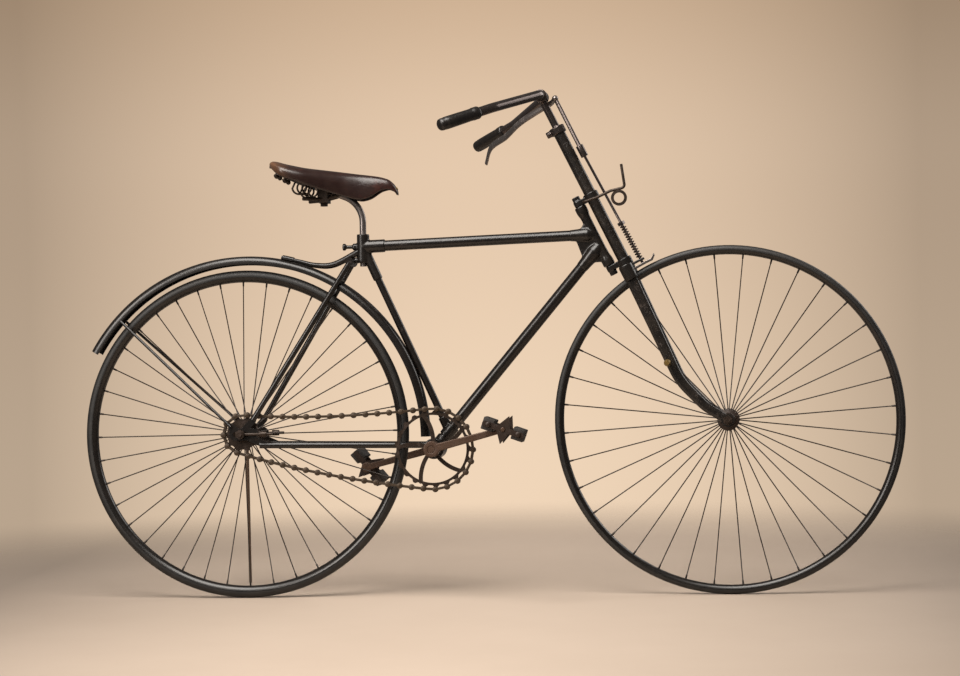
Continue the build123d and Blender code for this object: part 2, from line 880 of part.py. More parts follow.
def seat_stays():
    """Two stays bolted beside the seat lug, with a bridge that carries the mudguard."""
    body = Part()
    for side in (-1, 1):
        top, end = seat_stay_line(side)
        body += rod(top, end, seat_stay_radius) - dropout(side)
        eye_start = (stay_top_x, side * (stay_top_place - seat_stay_radius), stay_top_z)
        eye_end = (stay_top_x, side * (stay_top_place + seat_stay_radius), stay_top_z)
        body += rod(eye_start, eye_end, stay_ear_radius)
    bridge = where_radius(*seat_stay_line(1), mudguard_radius + bridge_radius + seam)
    body += across(bridge[0], bridge[2], -bridge[1], bridge[1], bridge_radius)
    return body


def adjuster(side):
    """An eye on the axle with a screw that points forward through a thicker sleeve."""
    middle = side * (dropout_place + dropout_thickness / 2 + adjuster_thickness / 2)
    eye = side_plate(Circle(adjuster_eye_radius) - Circle(axle_radius), middle, adjuster_thickness)
    screw_start = (adjuster_eye_radius - adjuster_radius, middle, 0)
    screw = rod(screw_start, (adjuster_length, middle, 0), adjuster_radius)
    place = middle + side * (adjuster_body_radius - adjuster_thickness / 2 + seam)
    sleeve_start = (adjuster_body_start, place, 0)
    sleeve_end = (adjuster_body_start + adjuster_body_length, place, 0)
    return at_rear(eye + screw + rod(sleeve_start, sleeve_end, adjuster_body_radius))


def rear_axle():
    outer = dropout_place + dropout_thickness / 2 + adjuster_thickness
    sprocket_end = chain_line + tooth_thickness / 2 + bearing_gap
    right_end, left_end = -outer - nut_height - axle_proud, outer + nut_height + prop_eye + axle_proud
    body = across(0, 0, right_end, left_end, axle_radius)
    inner = dropout_place - dropout_thickness / 2
    body += across(0, 0, -inner, -sprocket_end, cone_radius)
    body += across(0, 0, rear_hub_half + bearing_gap, inner, cone_radius)
    for side in (-1, 1):
        body += hex_rod((0, side * outer, 0), (0, side * (outer + nut_height), 0), nut_radius)
    return at_rear(body)


def mudguard():
    """A channel of thin sheet round the rear wheel."""
    shoulder = mudguard_half_width - mudguard_shoulder
    half = mudguard_half_width
    outer = [(0, shoulder), (mudguard_shoulder, half - mudguard_sheet), (mudguard_side, half)]
    inner = [
        (mudguard_sheet, shoulder - mudguard_sheet / 2),
        (mudguard_shoulder + mudguard_sheet / 2, half - 2 * mudguard_sheet),
        (mudguard_side, half - mudguard_sheet),
    ]
    points = [(mudguard_radius - depth, place) for depth, place in outer + inner[::-1]]
    points += [(mudguard_radius - depth, -place) for depth, place in inner + outer[::-1]]
    sweep_angle = mudguard_end - mudguard_start
    guard = revolve(outline(points), axis=Axis.Y, revolution_arc=sweep_angle)
    return at_guard(Rot(0, -mudguard_end, 0) * guard)


def mudguard_stay(side):
    """A stay from the guard's side to the lobe behind the axle."""
    x, z = polar(mudguard_radius - mudguard_side, mudguard_stay_angle)
    guard_place = mudguard_half_width + mudguard_stay_radius + seam
    lobe_place = dropout_place + dropout_thickness / 2 + mudguard_stay_radius + mudguard_stay_clear
    top = (x + guard_centre_ahead, side * guard_place, z + rear_wheel_radius - guard_centre_drop)
    foot = (-guard_lobe_back, side * lobe_place, rear_wheel_radius + guard_lobe_rise)
    return rod(top, foot, mudguard_stay_radius)


def mudguard_rod():
    """The rod that reaches back from the seat lug along the top of the guard."""
    half_angle = radians(guard_rod_shares[-1][0] - guard_rod_shares[-2][0]) / 2
    lift = (mudguard_radius + seam) / cos(half_angle) + guard_rod_radius
    points = [(seat_lug_x - seat_lug_radius / 2, 0, seat_lug_z - guard_rod_drop)]
    for angle, rise in guard_rod_shares:
        x, z = polar(lift + rise * guard_rod_rise, angle)
        points.append((x + guard_centre_ahead, 0, z + rear_wheel_radius - guard_centre_drop))
    lug = rod((seat_lug_x, 0, seat_lug_bottom), (seat_lug_x, 0, seat_lug_top), seat_lug_radius)
    return bent(points, guard_rod_bend, guard_rod_radius) - lug


def seat_post():
    """An upright pillar that bends back to carry the saddle."""
    slope = radians(post_slope)
    corner = (seat_lug_x, 0, post_bend_z)
    end = (seat_lug_x - post_reach * cos(slope), 0, post_bend_z + post_reach * sin(slope))
    return bent([(seat_lug_x, 0, post_bottom), corner, end], post_bend_radius, post_radius)


def post_height(x):
    return post_bend_z + (seat_lug_x - x) * tan(radians(post_slope))


# Saddle leather: place along the length and height below the top as shares, then half widths
# Each row: place_share, top_share, skirt_share, width_share
saddle_shares = (
    (0.000, 0.08, 0.17, 0.31),
    (0.036, 0.01, 0.22, 0.70),
    (0.079, 0.03, 0.35, 0.88),
    (0.140, 0.09, 0.46, 1.00),
    (0.290, 0.19, 0.63, 0.92),
    (0.440, 0.24, 0.77, 0.63),
    (0.590, 0.30, 0.91, 0.39),
    (0.705, 0.35, 1.00, 0.29),
    (0.785, 0.38, 0.94, 0.25),
    (0.863, 0.42, 0.77, 0.22),
    (0.928, 0.48, 0.72, 0.20),
    (0.971, 0.60, 0.78, 0.16),
    (1.000, 0.78, 0.86, 0.10),
)
# Across each section: width and depth from the top to the skirt, as shares
section_shares = ((0.45, 0.02), (0.82, 0.14), (1.0, 0.42), (0.97, 1.0))


def saddle_block(inset):
    """The saddle's form, or the hollow under it when inset by the leather's thickness."""
    rings = []
    for place, top, skirt, width in saddle_shares:
        x = saddle_rear + place * saddle_length
        x = min(max(x, saddle_rear + inset), saddle_rear + saddle_length - inset)
        high = saddle_top - top * saddle_depth - inset
        low = saddle_top - skirt * saddle_depth - (overrun if inset else 0)
        half = width * saddle_half_width - inset
        side = [(half * out, high - (high - low) * down) for out, down in section_shares]
        points = side + [(-out, z) for out, z in side[::-1]]
        wire = Polyline(*[(x, y, z) for y, z in points], close=True)
        rings.append(Face(Wire(wire.edges())))
    return loft(rings, ruled=True)


def saddle_leather():
    return saddle_block(0) - saddle_block(leather)


def saddle_rail(side):
    """A wire from the nose, through the clamp, to the spring."""
    nose = (saddle_rear + saddle_length - rail_nose_back, side * rail_nose_place, rail_nose_z)
    grip_place = (saddle_clamp_x, side * saddle_rail_place, saddle_rail_z)
    end = (spring_x, side * spring_place, saddle_rail_z)
    return bent([nose, grip_place, end], rail_bend, saddle_rail_radius)


def saddle_frame():
    """The rails, the nose piece they meet in and the cantle plate over the springs."""
    x = saddle_rear + saddle_length - rail_nose_back
    body = Pos(x, 0, rail_nose_z) * Box(nose_block, 2 * rail_nose_place + nose_block, nose_block)
    for side in (-1, 1):
        body += saddle_rail(side)
    return body


def cantle_plate():
    """The plate that the springs carry, up to the leather's rear edge."""
    base = saddle_rail_z + saddle_rail_radius + spring_height
    points = [
        (spring_x + spring_radius, base),
        (spring_x - spring_radius, base),
        (saddle_rear + cantle_back, base + cantle_rise),
        (saddle_rear + cantle_back, base + cantle_rise + cantle_sheet),
        (spring_x - spring_radius, base + cantle_sheet),
        (spring_x + spring_radius, base + cantle_sheet),
    ]
    return side_plate(outline(points), 0, 2 * cantle_half)


def saddle_spring(side):
    """A closely wound spring, drawn as a ridged barrel."""
    pitch = (spring_height - 2 * seam) / spring_turns
    wire = pitch / 2
    points = [(spring_radius - 2 * wire, 0)]
    for turn in range(spring_turns):
        points.append((spring_radius - wire, turn * pitch))
        points.append((spring_radius, (turn + 0.5) * pitch))
    points.append((spring_radius - wire, spring_turns * pitch))
    points.append((spring_radius - 2 * wire, spring_turns * pitch))
    barrel = revolve(Plane.XZ * outline(points), axis=Axis.Z)
    return Pos(spring_x, side * spring_place, saddle_rail_z + saddle_rail_radius + seam) * barrel


def saddle_clamp():
    """The clip that holds the rails under the seat post's arm, with its bolt."""
    high = post_height(saddle_clamp_x) + post_radius + clamp_wall
    low = saddle_rail_z - saddle_rail_radius - clamp_wall
    half = saddle_rail_place + saddle_rail_radius + clamp_wall
    body = Pos(saddle_clamp_x, 0, (high + low) / 2) * Box(clamp_length, 2 * half, high - low)
    body += hex_rod((saddle_clamp_x, 0, low), (saddle_clamp_x, 0, low - clamp_head_height), clamp_head_radius)
    return body - seat_post() - saddle_rail(-1) - saddle_rail(1)


def frame_nodes():
    return {
        "neck": neck(),
        "top_tube": top_tube(),
        "down_tube": down_tube(),
        "seat_tube": seat_tube(),
        "seat_lug": seat_lug(),
        "seat_tube_foot": seat_tube_foot(),
        "bottom_bracket": bottom_bracket(),
        "rear_dropouts": mirrored(dropout),
        "chain_stays": mirrored(chain_stay),
        "seat_stays": seat_stays(),
        "chain_adjusters": mirrored(adjuster),
        "rear_axle": rear_axle(),
        "mudguard": mudguard(),
        "mudguard_stays": mirrored(mudguard_stay),
        "mudguard_rod": mudguard_rod(),
        "seat_post": seat_post(),
        "saddle_leather": saddle_leather(),
        "saddle_frame": saddle_frame(),
        "saddle_cantle": cantle_plate(),
        "saddle_springs": mirrored(saddle_spring),
        "saddle_clamp": saddle_clamp(),
        "chain": chain(),
    }


def steering_column():
    return rod(head(column_bottom, column_offset), head(column_top, column_offset), column_radius)


def steering_arm(way):
    """An arm from the column to the end of the neck, with its collar and its pivot bolt."""
    near = way * (neck_half + seam)
    far = way * (neck_half + seam + arm_thickness)
    shape = Pos(column_offset / 2, 0) * SlotCenterToCenter(column_offset, arm_width)
    arm = extrude(head_plane(min(near, far), 0) * shape, amount=arm_thickness)
    collar_end = near + way * collar_height
    arm += rod(head(near, column_offset), head(collar_end, column_offset), column_radius + collar_wall)
    arm += rod(head(near - way * (pivot_depth - seam), 0), head(far, 0), pivot_radius)
    arm += hex_rod(head(far, 0), head(far + way * pivot_head_height, 0), pivot_head_radius)
    column_end = head(column_top, column_offset)
    return arm - rod(head(column_bottom - overrun, column_offset), column_end, column_radius)


def handlebar_stem():
    """The stem with the lug that holds the bar, and the collar that clamps the column's top."""
    lug = head(bar_lug_along, bar_lug_ahead)
    body = rod(head(column_top, column_offset), head(bar_lug_along, column_offset), stem_radius)
    body += across(lug[0], lug[2], -bar_lug_place, bar_lug_place, bar_lug_radius)
    collar = rod(
        head(column_top - collar_height / 2, column_offset),
        head(column_top + collar_height / 2, column_offset),
        column_radius + collar_wall,
    )
    ear = rod(
        head(column_top, column_offset),
        head(column_top, column_offset - column_radius - collar_wall - ear_reach),
        ear_radius,
    )
    bolt_point = head(column_top, column_offset - column_radius - collar_wall - ear_reach / 2)
    bolt = across(bolt_point[0], bolt_point[2], -ear_bolt_half, ear_bolt_half, ear_bolt_radius)
    return body + collar + ear + bolt - steering_column()


def bar_points(side):
    lug = head(bar_lug_along, bar_lug_ahead)
    straight = bar_lug_place + bar_straight
    bend = (lug[0] - bar_bend_back, side * bar_bend_place, lug[2] - bar_bend_drop)
    end = (bend[0] - grip_back, side * (bar_bend_place + grip_place), bend[2] - grip_drop)
    return [(lug[0], side * bar_lug_place, lug[2]), (lug[0], side * straight, lug[2]), bend, end]


def handlebar(side):
    """Half of the bar: out of the lug, back, and down to the end of its grip."""
    points = bar_points(side)
    points[-1] = toward(points[-1], points[-2], seam)
    return bent(points, bar_bends, bar_radius)


def grip(side):
    """A round grip over the end of the bar."""
    points = bar_points(side)
    length = (Vector(*points[-1]) - Vector(*points[-2])).length
    start = toward(points[-2], points[-1], length * grip_start_share)
    return rod(start, toward(points[-2], points[-1], length + grip_cap), grip_radius) - handlebar(side)


def brake_lever():
    """The lever under the left bar: a round arm over the brake rod, then a flat blade."""
    tip = head(lever_along, brake_rod_offset)
    root = head(lever_along, bar_lug_ahead + lever_step, lever_root_place)
    lug = head(bar_lug_along, bar_lug_ahead)
    blade_points = [root]
    for back, place, drop in lever_shares:
        blade_points.append((lug[0] - back * lever_back, place * lever_place, lug[2] - drop * lever_drop))
    blade_path = FilletPolyline(*blade_points, radius=lever_bend)
    section = SlotOverall(lever_blade_width, lever_blade_thickness)
    section_plane = Plane(origin=blade_path @ 0, x_dir=(0, 0, 1), z_dir=blade_path % 0)
    blade_body = sweep(section_plane * section, path=blade_path)
    return rod(tip, root, lever_radius) + Pos(*root) * Sphere(lever_blade_width / 2) + blade_body


def brake_line():
    """The joint and the foot of the lower brake rod, above the guide on the crown."""
    joint = head(brake_rod_joint, brake_rod_offset)
    foot = head(column_bottom, brake_rod_offset + brake_rod_lean)
    return joint, foot


def tread_disc(lift):
    """A disc over the whole front wheel, to trim what rides above the tread."""
    return at_front(across(0, 0, -spoon_width, spoon_width, front_wheel_radius + lift))


def brake_rod():
    """An upper bar and a thinner lower one, joined by an adjuster, with a collar on the spring."""
    top = head(lever_along - lever_radius - seam, brake_rod_offset)
    joint, foot = brake_line()
    length = (Vector(*foot) - Vector(*joint)).length
    body = rod(top, joint, brake_upper_radius)
    body += rod(toward(joint, top, brake_nut_half), toward(joint, foot, brake_nut_half), brake_body_radius)
    body += rod(joint, toward(joint, foot, length + 2 * overrun), brake_lower_radius)
    spring_top = toward(foot, joint, brake_spring_length + seam)
    body += hex_rod(spring_top, toward(spring_top, joint, brake_collar), brake_body_radius)
    return body - tread_disc(brake_gap + spoon_thickness)


def brake_spring():
    """A long spring round the foot of the brake rod, drawn as a ridged tube."""
    joint, foot = brake_line()
    pitch = (brake_spring_length - seam) / brake_spring_turns
    bore = brake_lower_radius + seam
    points = [(bore, 0)]
    for turn in range(brake_spring_turns):
        points.append((brake_spring_radius - brake_spring_wire, turn * pitch))
        points.append((brake_spring_radius, (turn + 0.5) * pitch))
    points.append((brake_spring_radius - brake_spring_wire, brake_spring_turns * pitch))
    points.append((bore, brake_spring_turns * pitch))
    barrel = revolve(Plane.XZ * outline(points), axis=Axis.Z)
    start = toward(foot, joint, seam)
    return Plane(origin=Vector(*start), z_dir=Vector(*joint) - Vector(*foot)) * barrel


def brake_spoon():
    """A curved shoe over the front tyre under the brake rod's foot, with its front edge turned up."""
    joint, foot = brake_line()
    seat = toward(foot, joint, -spoon_reach)
    middle = degrees(atan2(seat[2] - front_wheel_radius, seat[0] - wheelbase))
    start, end = middle - spoon_ahead_angle, middle + spoon_behind_angle
    inner = front_wheel_radius + brake_gap
    profile = Pos(inner + spoon_thickness / 2, 0) * Rectangle(spoon_thickness, spoon_width)
    shoe = Rot(0, -end, 0) * revolve(profile, axis=Axis.Y, revolution_arc=end - start)
    tip = outline(
        [
            polar(inner, start),
            polar(inner + spoon_thickness, start),
            polar(inner + spoon_thickness + spoon_tip_rise, start - spoon_tip_angle),
            polar(inner + spoon_tip_rise, start - spoon_tip_angle),
        ]
    )
    return at_front(shoe + side_plate(tip, 0, spoon_width))


def fork_crown():
    """The arched crown under the column, with the forward guide for the brake rod."""
    whole = Rot(0, 0, 90) * SlotOverall(2 * blade_place + crown_depth, crown_depth)
    body = extrude(head_plane(column_bottom, crown_offset) * whole, amount=-crown_height)
    arch = Rectangle(2 * crown_depth, 2 * crown_arch_half)
    body -= extrude(head_plane(column_bottom - crown_bridge, crown_offset) * arch, amount=-crown_height)
    reach = brake_rod_offset + brake_rod_lean + brake_body_radius - crown_offset
    plate = Pos(reach / 2, 0) * Rectangle(reach, 2 * brake_body_radius)
    body += extrude(head_plane(column_bottom, crown_offset) * plate, amount=-guide_sheet)
    joint, foot = brake_line()
    length = (Vector(*foot) - Vector(*joint)).length
    hole_end = toward(joint, foot, length + 2 * overrun)
    hole = rod(toward(foot, joint, overrun), hole_end, brake_lower_radius + seam)
    return body - hole


def blade(side):
    """A flat-sided oval blade that tapers and bends forward to an eye on the axle."""
    place = side * blade_place
    points = [
        head(column_bottom - crown_height - 2 * seam, blade_top_ahead, place),
        head(blade_knee_along, blade_knee_ahead, place),
        head(blade_sweep_along, blade_sweep_ahead, place),
        (wheelbase, place, front_wheel_radius),
    ]
    path = FilletPolyline(*points, radius=blade_bends)
    sections = []
    for share, depth in ((0, blade_depth), (1, blade_tip_depth)):
        seat = Plane(origin=path @ share, x_dir=(0, 1, 0), z_dir=path % share)
        sections.append(seat * Rot(0, 0, 90) * SlotOverall(depth, blade_thickness))
    body = sweep(sections, path=path, multisection=True)
    body += at_front(side_plate(Circle(blade_eye_radius), place, blade_thickness))
    return body - at_front(across(0, 0, place - overrun, place + overrun, axle_radius))


def foot_peg(side):
    """A round rest on the outer side of a blade."""
    start = side * (blade_place + blade_thickness / 2)
    near = head(peg_along, peg_ahead, start)
    far = head(peg_along, peg_ahead, start + side * peg_length)
    return rod(near, far, peg_radius, peg_radius - socket_lip)


def front_axle():
    inner, outer = blade_place - blade_thickness / 2, blade_place + blade_thickness / 2
    end = outer + nut_height + axle_proud
    body = across(0, 0, -end, end, axle_radius)
    for side in (-1, 1):
        body += rod((0, side * (front_hub_half + bearing_gap), 0), (0, side * inner, 0), cone_radius)
        body += hex_rod((0, side * outer, 0), (0, side * (outer + nut_height), 0), nut_radius)
    return at_front(body)


def lamp_bracket():
    """A wire on the right of the upper arm that ends in an upright pin, with a ring under it."""
    points = []
    for along, ahead, place in lamp_shares:
        points.append(head(along * lamp_along, ahead * lamp_ahead, -place * lamp_place))
    body = bent(points, lamp_bend, lamp_radius)
    ring_centre = head(lamp_ring_along, lamp_ring_ahead, -lamp_place)
    ring = Circle(lamp_ring_radius) - Circle(lamp_ring_radius - 2 * lamp_radius)
    return body + Pos(ring_centre[0], 0, ring_centre[2]) * side_plate(ring, -lamp_place, 2 * lamp_radius)


def fork_nodes():
    return {
        "steering_column": steering_column(),
        "steering_arms": Compound([steering_arm(-1), steering_arm(1)]),
        "handlebar_stem": handlebar_stem(),
        "handlebar_right": handlebar(-1),
        "handlebar_left": handlebar(1),
        "grip_right": grip(-1),
        "grip_left": grip(1),
        "brake_lever": brake_lever(),
        "brake_rod": brake_rod(),
        "brake_spring": brake_spring(),
        "brake_spoon": brake_spoon(),
        "fork_crown": fork_crown(),
        "fork_blades": mirrored(blade),
        "foot_pegs": mirrored(foot_peg),
        "front_axle": front_axle(),
        "lamp_bracket": lamp_bracket(),
    }


def steered(shape):
    """A piece of the fork or front wheel, turned about the neck axis as it stands."""
    direction = Vector(*head(1, 0)) - Vector(*head(0, 0))
    return shape.rotate(Axis(head(0, 0), direction), steer_turn)


def leaned(shape):
    """A piece of the upright bicycle, leaned to the left on the rear tyre's tread."""
    tread = rear_tyre_width / 2
    drop = tread * (cos(radians(lean_angle)) + tan(radians(half_eighth_turn)) * sin(radians(lean_angle)))
    return Pos(0, 0, drop) * Rot(-lean_angle, 0, 0) * Pos(0, 0, -tread) * shape


def prop_rod():
    """The slim rod from an eye on the left end of the rear axle to its round foot on the floor."""
    eye_start = dropout_place + dropout_thickness / 2 + adjuster_thickness + nut_height
    place = eye_start + prop_eye / 2
    lobe = Pos(-prop_lobe / 2, 0) * SlotCenterToCenter(prop_lobe, 2 * adjuster_eye_radius)
    eye = at_rear(side_plate(lobe - Circle(axle_radius), place, prop_eye))
    low = leaned(at_rear(Pos(-prop_lobe, place, 0) * Vertex())).center()
    foot = (prop_foot_x, prop_foot_y, prop_radius)
    leg = rod((low.X, low.Y, low.Z), foot, prop_radius)
    return leaned(eye) + leg + Pos(*foot) * Sphere(prop_radius)


def standing_nodes():
    """Every piece as the bicycle stands, with its rear tyre on the floor at the origin."""
    wheels = wheel_nodes()
    steered_nodes = {name: shape for name, shape in wheels.items() if name.startswith("front_")}
    steered_nodes.update(fork_nodes())
    nodes = {name: shape for name, shape in wheels.items() if name not in steered_nodes}
    nodes.update(drive_nodes())
    nodes.update(frame_nodes())
    standing = {name: leaned(shape) for name, shape in nodes.items()}
    standing.update({name: leaned(steered(shape)) for name, shape in steered_nodes.items()})
    standing["prop_rod"] = prop_rod()
    return standing


def floor_shift(nodes):
    """The move that brings the middle of the footprint over the origin."""
    boxes = [shape.bounding_box() for shape in nodes.values()]
    middle_x = (min(box.min.X for box in boxes) + max(box.max.X for box in boxes)) / 2
    middle_y = (min(box.min.Y for box in boxes) + max(box.max.Y for box in boxes)) / 2
    low = min(box.min.Z for box in boxes)
    return Pos(-middle_x, -middle_y, -low)


def main():
    nodes = standing_nodes()
    shift = floor_shift(nodes)
    os.makedirs("parts", exist_ok=True)
    for name, shape in nodes.items():
        export_step(shift * shape, "parts/" + name + ".step")
        print(name, round(shape.volume))


main()
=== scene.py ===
# %% [markdown]
# # An old safety bicycle
# The bicycle's pieces come from the imported model, which stays fixed. Its tubes stay as
# they are and get worn finishes, and its lugs are softened. Pieces whose fine form counts most, such as
# the spokes, the chain and the coiled springs, are modelled here and stand in for the model's plainer ones.

# %% Load the frame
import json
from math import acos, asin, atan2, cos, degrees, hypot, pi, radians, sin

import bpy
from mathutils import Matrix, Vector


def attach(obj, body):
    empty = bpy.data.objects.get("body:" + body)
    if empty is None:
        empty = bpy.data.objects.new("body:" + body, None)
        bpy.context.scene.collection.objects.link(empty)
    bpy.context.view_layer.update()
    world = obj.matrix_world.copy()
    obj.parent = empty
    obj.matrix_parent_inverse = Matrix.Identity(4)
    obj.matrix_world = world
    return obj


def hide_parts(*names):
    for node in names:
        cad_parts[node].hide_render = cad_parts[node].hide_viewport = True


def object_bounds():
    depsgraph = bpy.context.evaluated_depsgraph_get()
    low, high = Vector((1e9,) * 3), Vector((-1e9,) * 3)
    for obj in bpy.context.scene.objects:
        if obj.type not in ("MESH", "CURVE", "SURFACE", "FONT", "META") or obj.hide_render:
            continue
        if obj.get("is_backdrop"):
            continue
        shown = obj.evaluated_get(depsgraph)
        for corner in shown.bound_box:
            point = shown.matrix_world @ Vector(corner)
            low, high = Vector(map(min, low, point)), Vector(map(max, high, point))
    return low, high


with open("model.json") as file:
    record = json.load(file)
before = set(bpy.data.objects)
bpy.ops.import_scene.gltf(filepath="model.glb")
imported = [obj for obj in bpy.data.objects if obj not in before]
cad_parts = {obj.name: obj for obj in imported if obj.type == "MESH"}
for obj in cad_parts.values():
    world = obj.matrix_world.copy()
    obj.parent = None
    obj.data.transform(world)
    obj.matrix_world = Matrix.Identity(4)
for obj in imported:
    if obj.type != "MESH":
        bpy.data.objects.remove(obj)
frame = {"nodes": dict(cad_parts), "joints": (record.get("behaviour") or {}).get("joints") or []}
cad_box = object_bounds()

nodes = frame["nodes"]
joints = {joint["name"]: joint for joint in frame["joints"]}
print("nodes", len(nodes), "box", [list(map(float, corner)) for corner in cad_box])

# %% [markdown]
# ## How the bicycle stands
# It leans a little to its left on a slim prop rod, with the steering turned a touch. Modelling on a slant
# is hard, so every new piece is modelled on an upright bicycle with its rear axle at x = 0, and is then
# moved as a whole. The lean and the turn are read from the axes of the model's own joints.

# %% Upright bicycle to standing bicycle
rear_joint, front_joint, neck_joint = (
    joints[name] for name in ("rear_wheel_spin", "front_wheel_spin", "steering")
)
crank_joint = joints["crank_spin"]
lean = asin(-rear_joint["axis"][2])
rear_wheel_radius = 0.3556
front_wheel_radius = 0.372
rear_hub_standing = Vector(rear_joint["pos_m"])
stand_frame = (
    Matrix.Translation(rear_hub_standing)
    @ Matrix.Rotation(-lean, 4, "X")
    @ Matrix.Translation((0, 0, -rear_wheel_radius))
)
lay_frame = stand_frame.inverted()
neck_point = lay_frame @ Vector(neck_joint["pos_m"])
neck_way = (lay_frame.to_3x3() @ Vector(neck_joint["axis"])).normalized()
head_angle = atan2(-neck_way.x, neck_way.z)
axle_way = lay_frame.to_3x3() @ Vector(front_joint["axis"])
steer_turn = atan2(-axle_way.x, axle_way.y) / cos(head_angle)
stand_fork = (
    stand_frame
    @ Matrix.Translation(neck_point)
    @ Matrix.Rotation(steer_turn, 4, neck_way)
    @ Matrix.Translation(-neck_point)
)
stands = {"frame": stand_frame, "rear_wheel": stand_frame, "cranks": stand_frame}
stands.update({"pedal_right": stand_frame, "pedal_left": stand_frame})
stands.update({"fork": stand_fork, "front_wheel": stand_fork})
rear_centre = Vector((0, 0, rear_wheel_radius))
front_centre = stand_fork.inverted() @ Vector(front_joint["pos_m"])
bracket_centre = lay_frame @ Vector(crank_joint["pos_m"])
pedal_centres = {
    side: lay_frame @ Vector(joints["pedal_" + side + "_spin"]["pos_m"]) for side in ("right", "left")
}
print("lean", round(degrees(lean), 2), "turn", round(degrees(steer_turn), 2), "bracket", bracket_centre)


def head(along, ahead, place=0.0):
    """A point by its distance up the neck axis, ahead of it, and to the left, on the upright bicycle."""
    forward = Vector((cos(head_angle), 0, sin(head_angle)))
    return neck_point + neck_way * along + forward * ahead + Vector((0, place, 0))


# %% [markdown]
# ## Camera
# The camera stands about five metres away, a little lower than the tops of the wheels, and square to
# them but for a few degrees. It is built from where it looks, how far it stands and how it is
# turned, so that each value can be read as it would be said in a studio.

# %% Camera
camera_target = Vector((-0.0189, 0, 0.5546))
camera_distance = 4.982
camera_turn = radians(5.51)
camera_rise = radians(-0.82)
camera_roll = radians(-1.09)
photo_width = 960
focal_pixels = 2300
sensor_mm = 36
forward = Vector((-sin(camera_turn), cos(camera_turn), 0)) * cos(camera_rise)
forward.z = sin(camera_rise)
level_right = forward.cross(Vector((0, 0, 1))).normalized()
level_up = level_right.cross(forward)
right = level_right * cos(camera_roll) + level_up * sin(camera_roll)
up = level_up * cos(camera_roll) - level_right * sin(camera_roll)
bpy.ops.object.camera_add()
camera = bpy.context.object
camera.matrix_world = Matrix.Translation(camera_target - forward * camera_distance) @ Matrix(
    (right, up, -forward)
).transposed().to_4x4()
camera.data.sensor_width = sensor_mm
camera.data.lens = focal_pixels * sensor_mm / photo_width
bpy.context.scene.camera = camera
bpy.context.scene.view_settings.view_transform = "Standard"
print("lens", round(camera.data.lens, 1), "mm")

# %% [markdown]
# ## Studio
# A pale warm floor fades into a backdrop of the same tone. The floor is a wide disc whose edge dissolves,
# so no horizon line shows from any side. The lamps are large and close to neutral, because a dark worn
# bicycle reads by the long soft highlights on its tubes.

# %% Helpers for selections and shader nodes
# This cell names the small steps that the later cells repeat
def deselect():
    if bpy.context.mode != "OBJECT":
        bpy.ops.object.mode_set(mode="OBJECT")
    bpy.ops.object.select_all(action="DESELECT")


def new_material(name):
    material = bpy.data.materials.new(name)
    material.use_nodes = True
    return material, material.node_tree, material.node_tree.nodes["Principled BSDF"]


def node(tree, kind, settings=None, inputs=None):
    """A shader node with its settings, its constant inputs and its links in one call."""
    made = tree.nodes.new(kind)
    for key, value in (settings or {}).items():
        setattr(made, key, value)
    for key, value in (inputs or {}).items():
        if isinstance(value, bpy.types.NodeSocket):
            tree.links.new(value, made.inputs[key])
        else:
            made.inputs[key].default_value = value
    return made


def ramp(tree, source, stops, mode="LINEAR"):
    """A colour ramp from a short list of places and colours."""
    made = node(tree, "ShaderNodeValToRGB", inputs={"Fac": source})
    made.color_ramp.interpolation = mode
    elements = made.color_ramp.elements
    while len(elements) < len(stops):
        elements.new(0.5)
    for element, (place, colour) in zip(elements, stops):
        element.position = place
        element.color = colour if len(colour) == 4 else (*colour, 1)
    return made.outputs["Color"]


def grey(value):
    return (value, value, value, 1)


def math_node(tree, operation, first, second=0.0, clamp=False):
    made = node(tree, "ShaderNodeMath", {"operation": operation, "use_clamp": clamp})
    for index, value in enumerate((first, second)):
        if isinstance(value, bpy.types.NodeSocket):
            tree.links.new(value, made.inputs[index])
        else:
            made.inputs[index].default_value = value
    return made.outputs[0]


def times(tree, first, second, clamp=False):
    return math_node(tree, "MULTIPLY", first, second, clamp)


def plus(tree, first, second, clamp=False):
    return math_node(tree, "ADD", first, second, clamp)


def minus(tree, first, second, clamp=False):
    return math_node(tree, "SUBTRACT", first, second, clamp)


def mix_colour(tree, mask, first, second, blend="MIX"):
    made = node(tree, "ShaderNodeMix", {"data_type": "RGBA", "blend_type": blend})
    for index, value in ((0, mask), (6, first), (7, second)):
        if isinstance(value, bpy.types.NodeSocket):
            tree.links.new(value, made.inputs[index])
        else:
            made.inputs[index].default_value = value
    return made.outputs[2]


print("helpers ready")

# %% [markdown]
# ### Floor
# The floor is one disc. It is a little stained, its colour is darkened towards both ends of the bicycle as
# painted shade where the lamps fall off, and a transparent shader takes over towards its rim.

# %% Floor
floor_colour = (0.455, 0.365, 0.292, 1)
stained_floor_colour = (0.425, 0.338, 0.268, 1)
floor_radius = 2.6
deselect()
bpy.ops.mesh.primitive_circle_add(vertices=96, radius=floor_radius, fill_type="NGON", location=(0, 0, 0))
floor = bpy.context.object
floor.name = "floor"
material, tree, shader = new_material("studio_floor")
place = node(tree, "ShaderNodeTexCoord").outputs["Object"]
distance = node(tree, "ShaderNodeVectorMath", {"operation": "LENGTH"}, {0: place}).outputs["Value"]
reach = math_node(tree, "DIVIDE", distance, floor_radius)
fade = ramp(tree, reach, [(0.42, grey(1)), (0.92, grey(0))], "EASE")
stain_inputs = {"Vector": place, "Scale": 1.6, "Detail": 5, "Roughness": 0.6}
stain = node(tree, "ShaderNodeTexNoise", inputs=stain_inputs)
tone = ramp(tree, stain.outputs["Fac"], [(0.30, stained_floor_colour), (0.70, floor_colour)])
# Painted shade: the floor's colour is darkened with the square of X, towards both ends of the bicycle, where
# the lamps fall off
across = node(tree, "ShaderNodeSeparateXYZ", inputs={0: place}).outputs["X"]
across = times(tree, times(tree, across, across), 0.45)
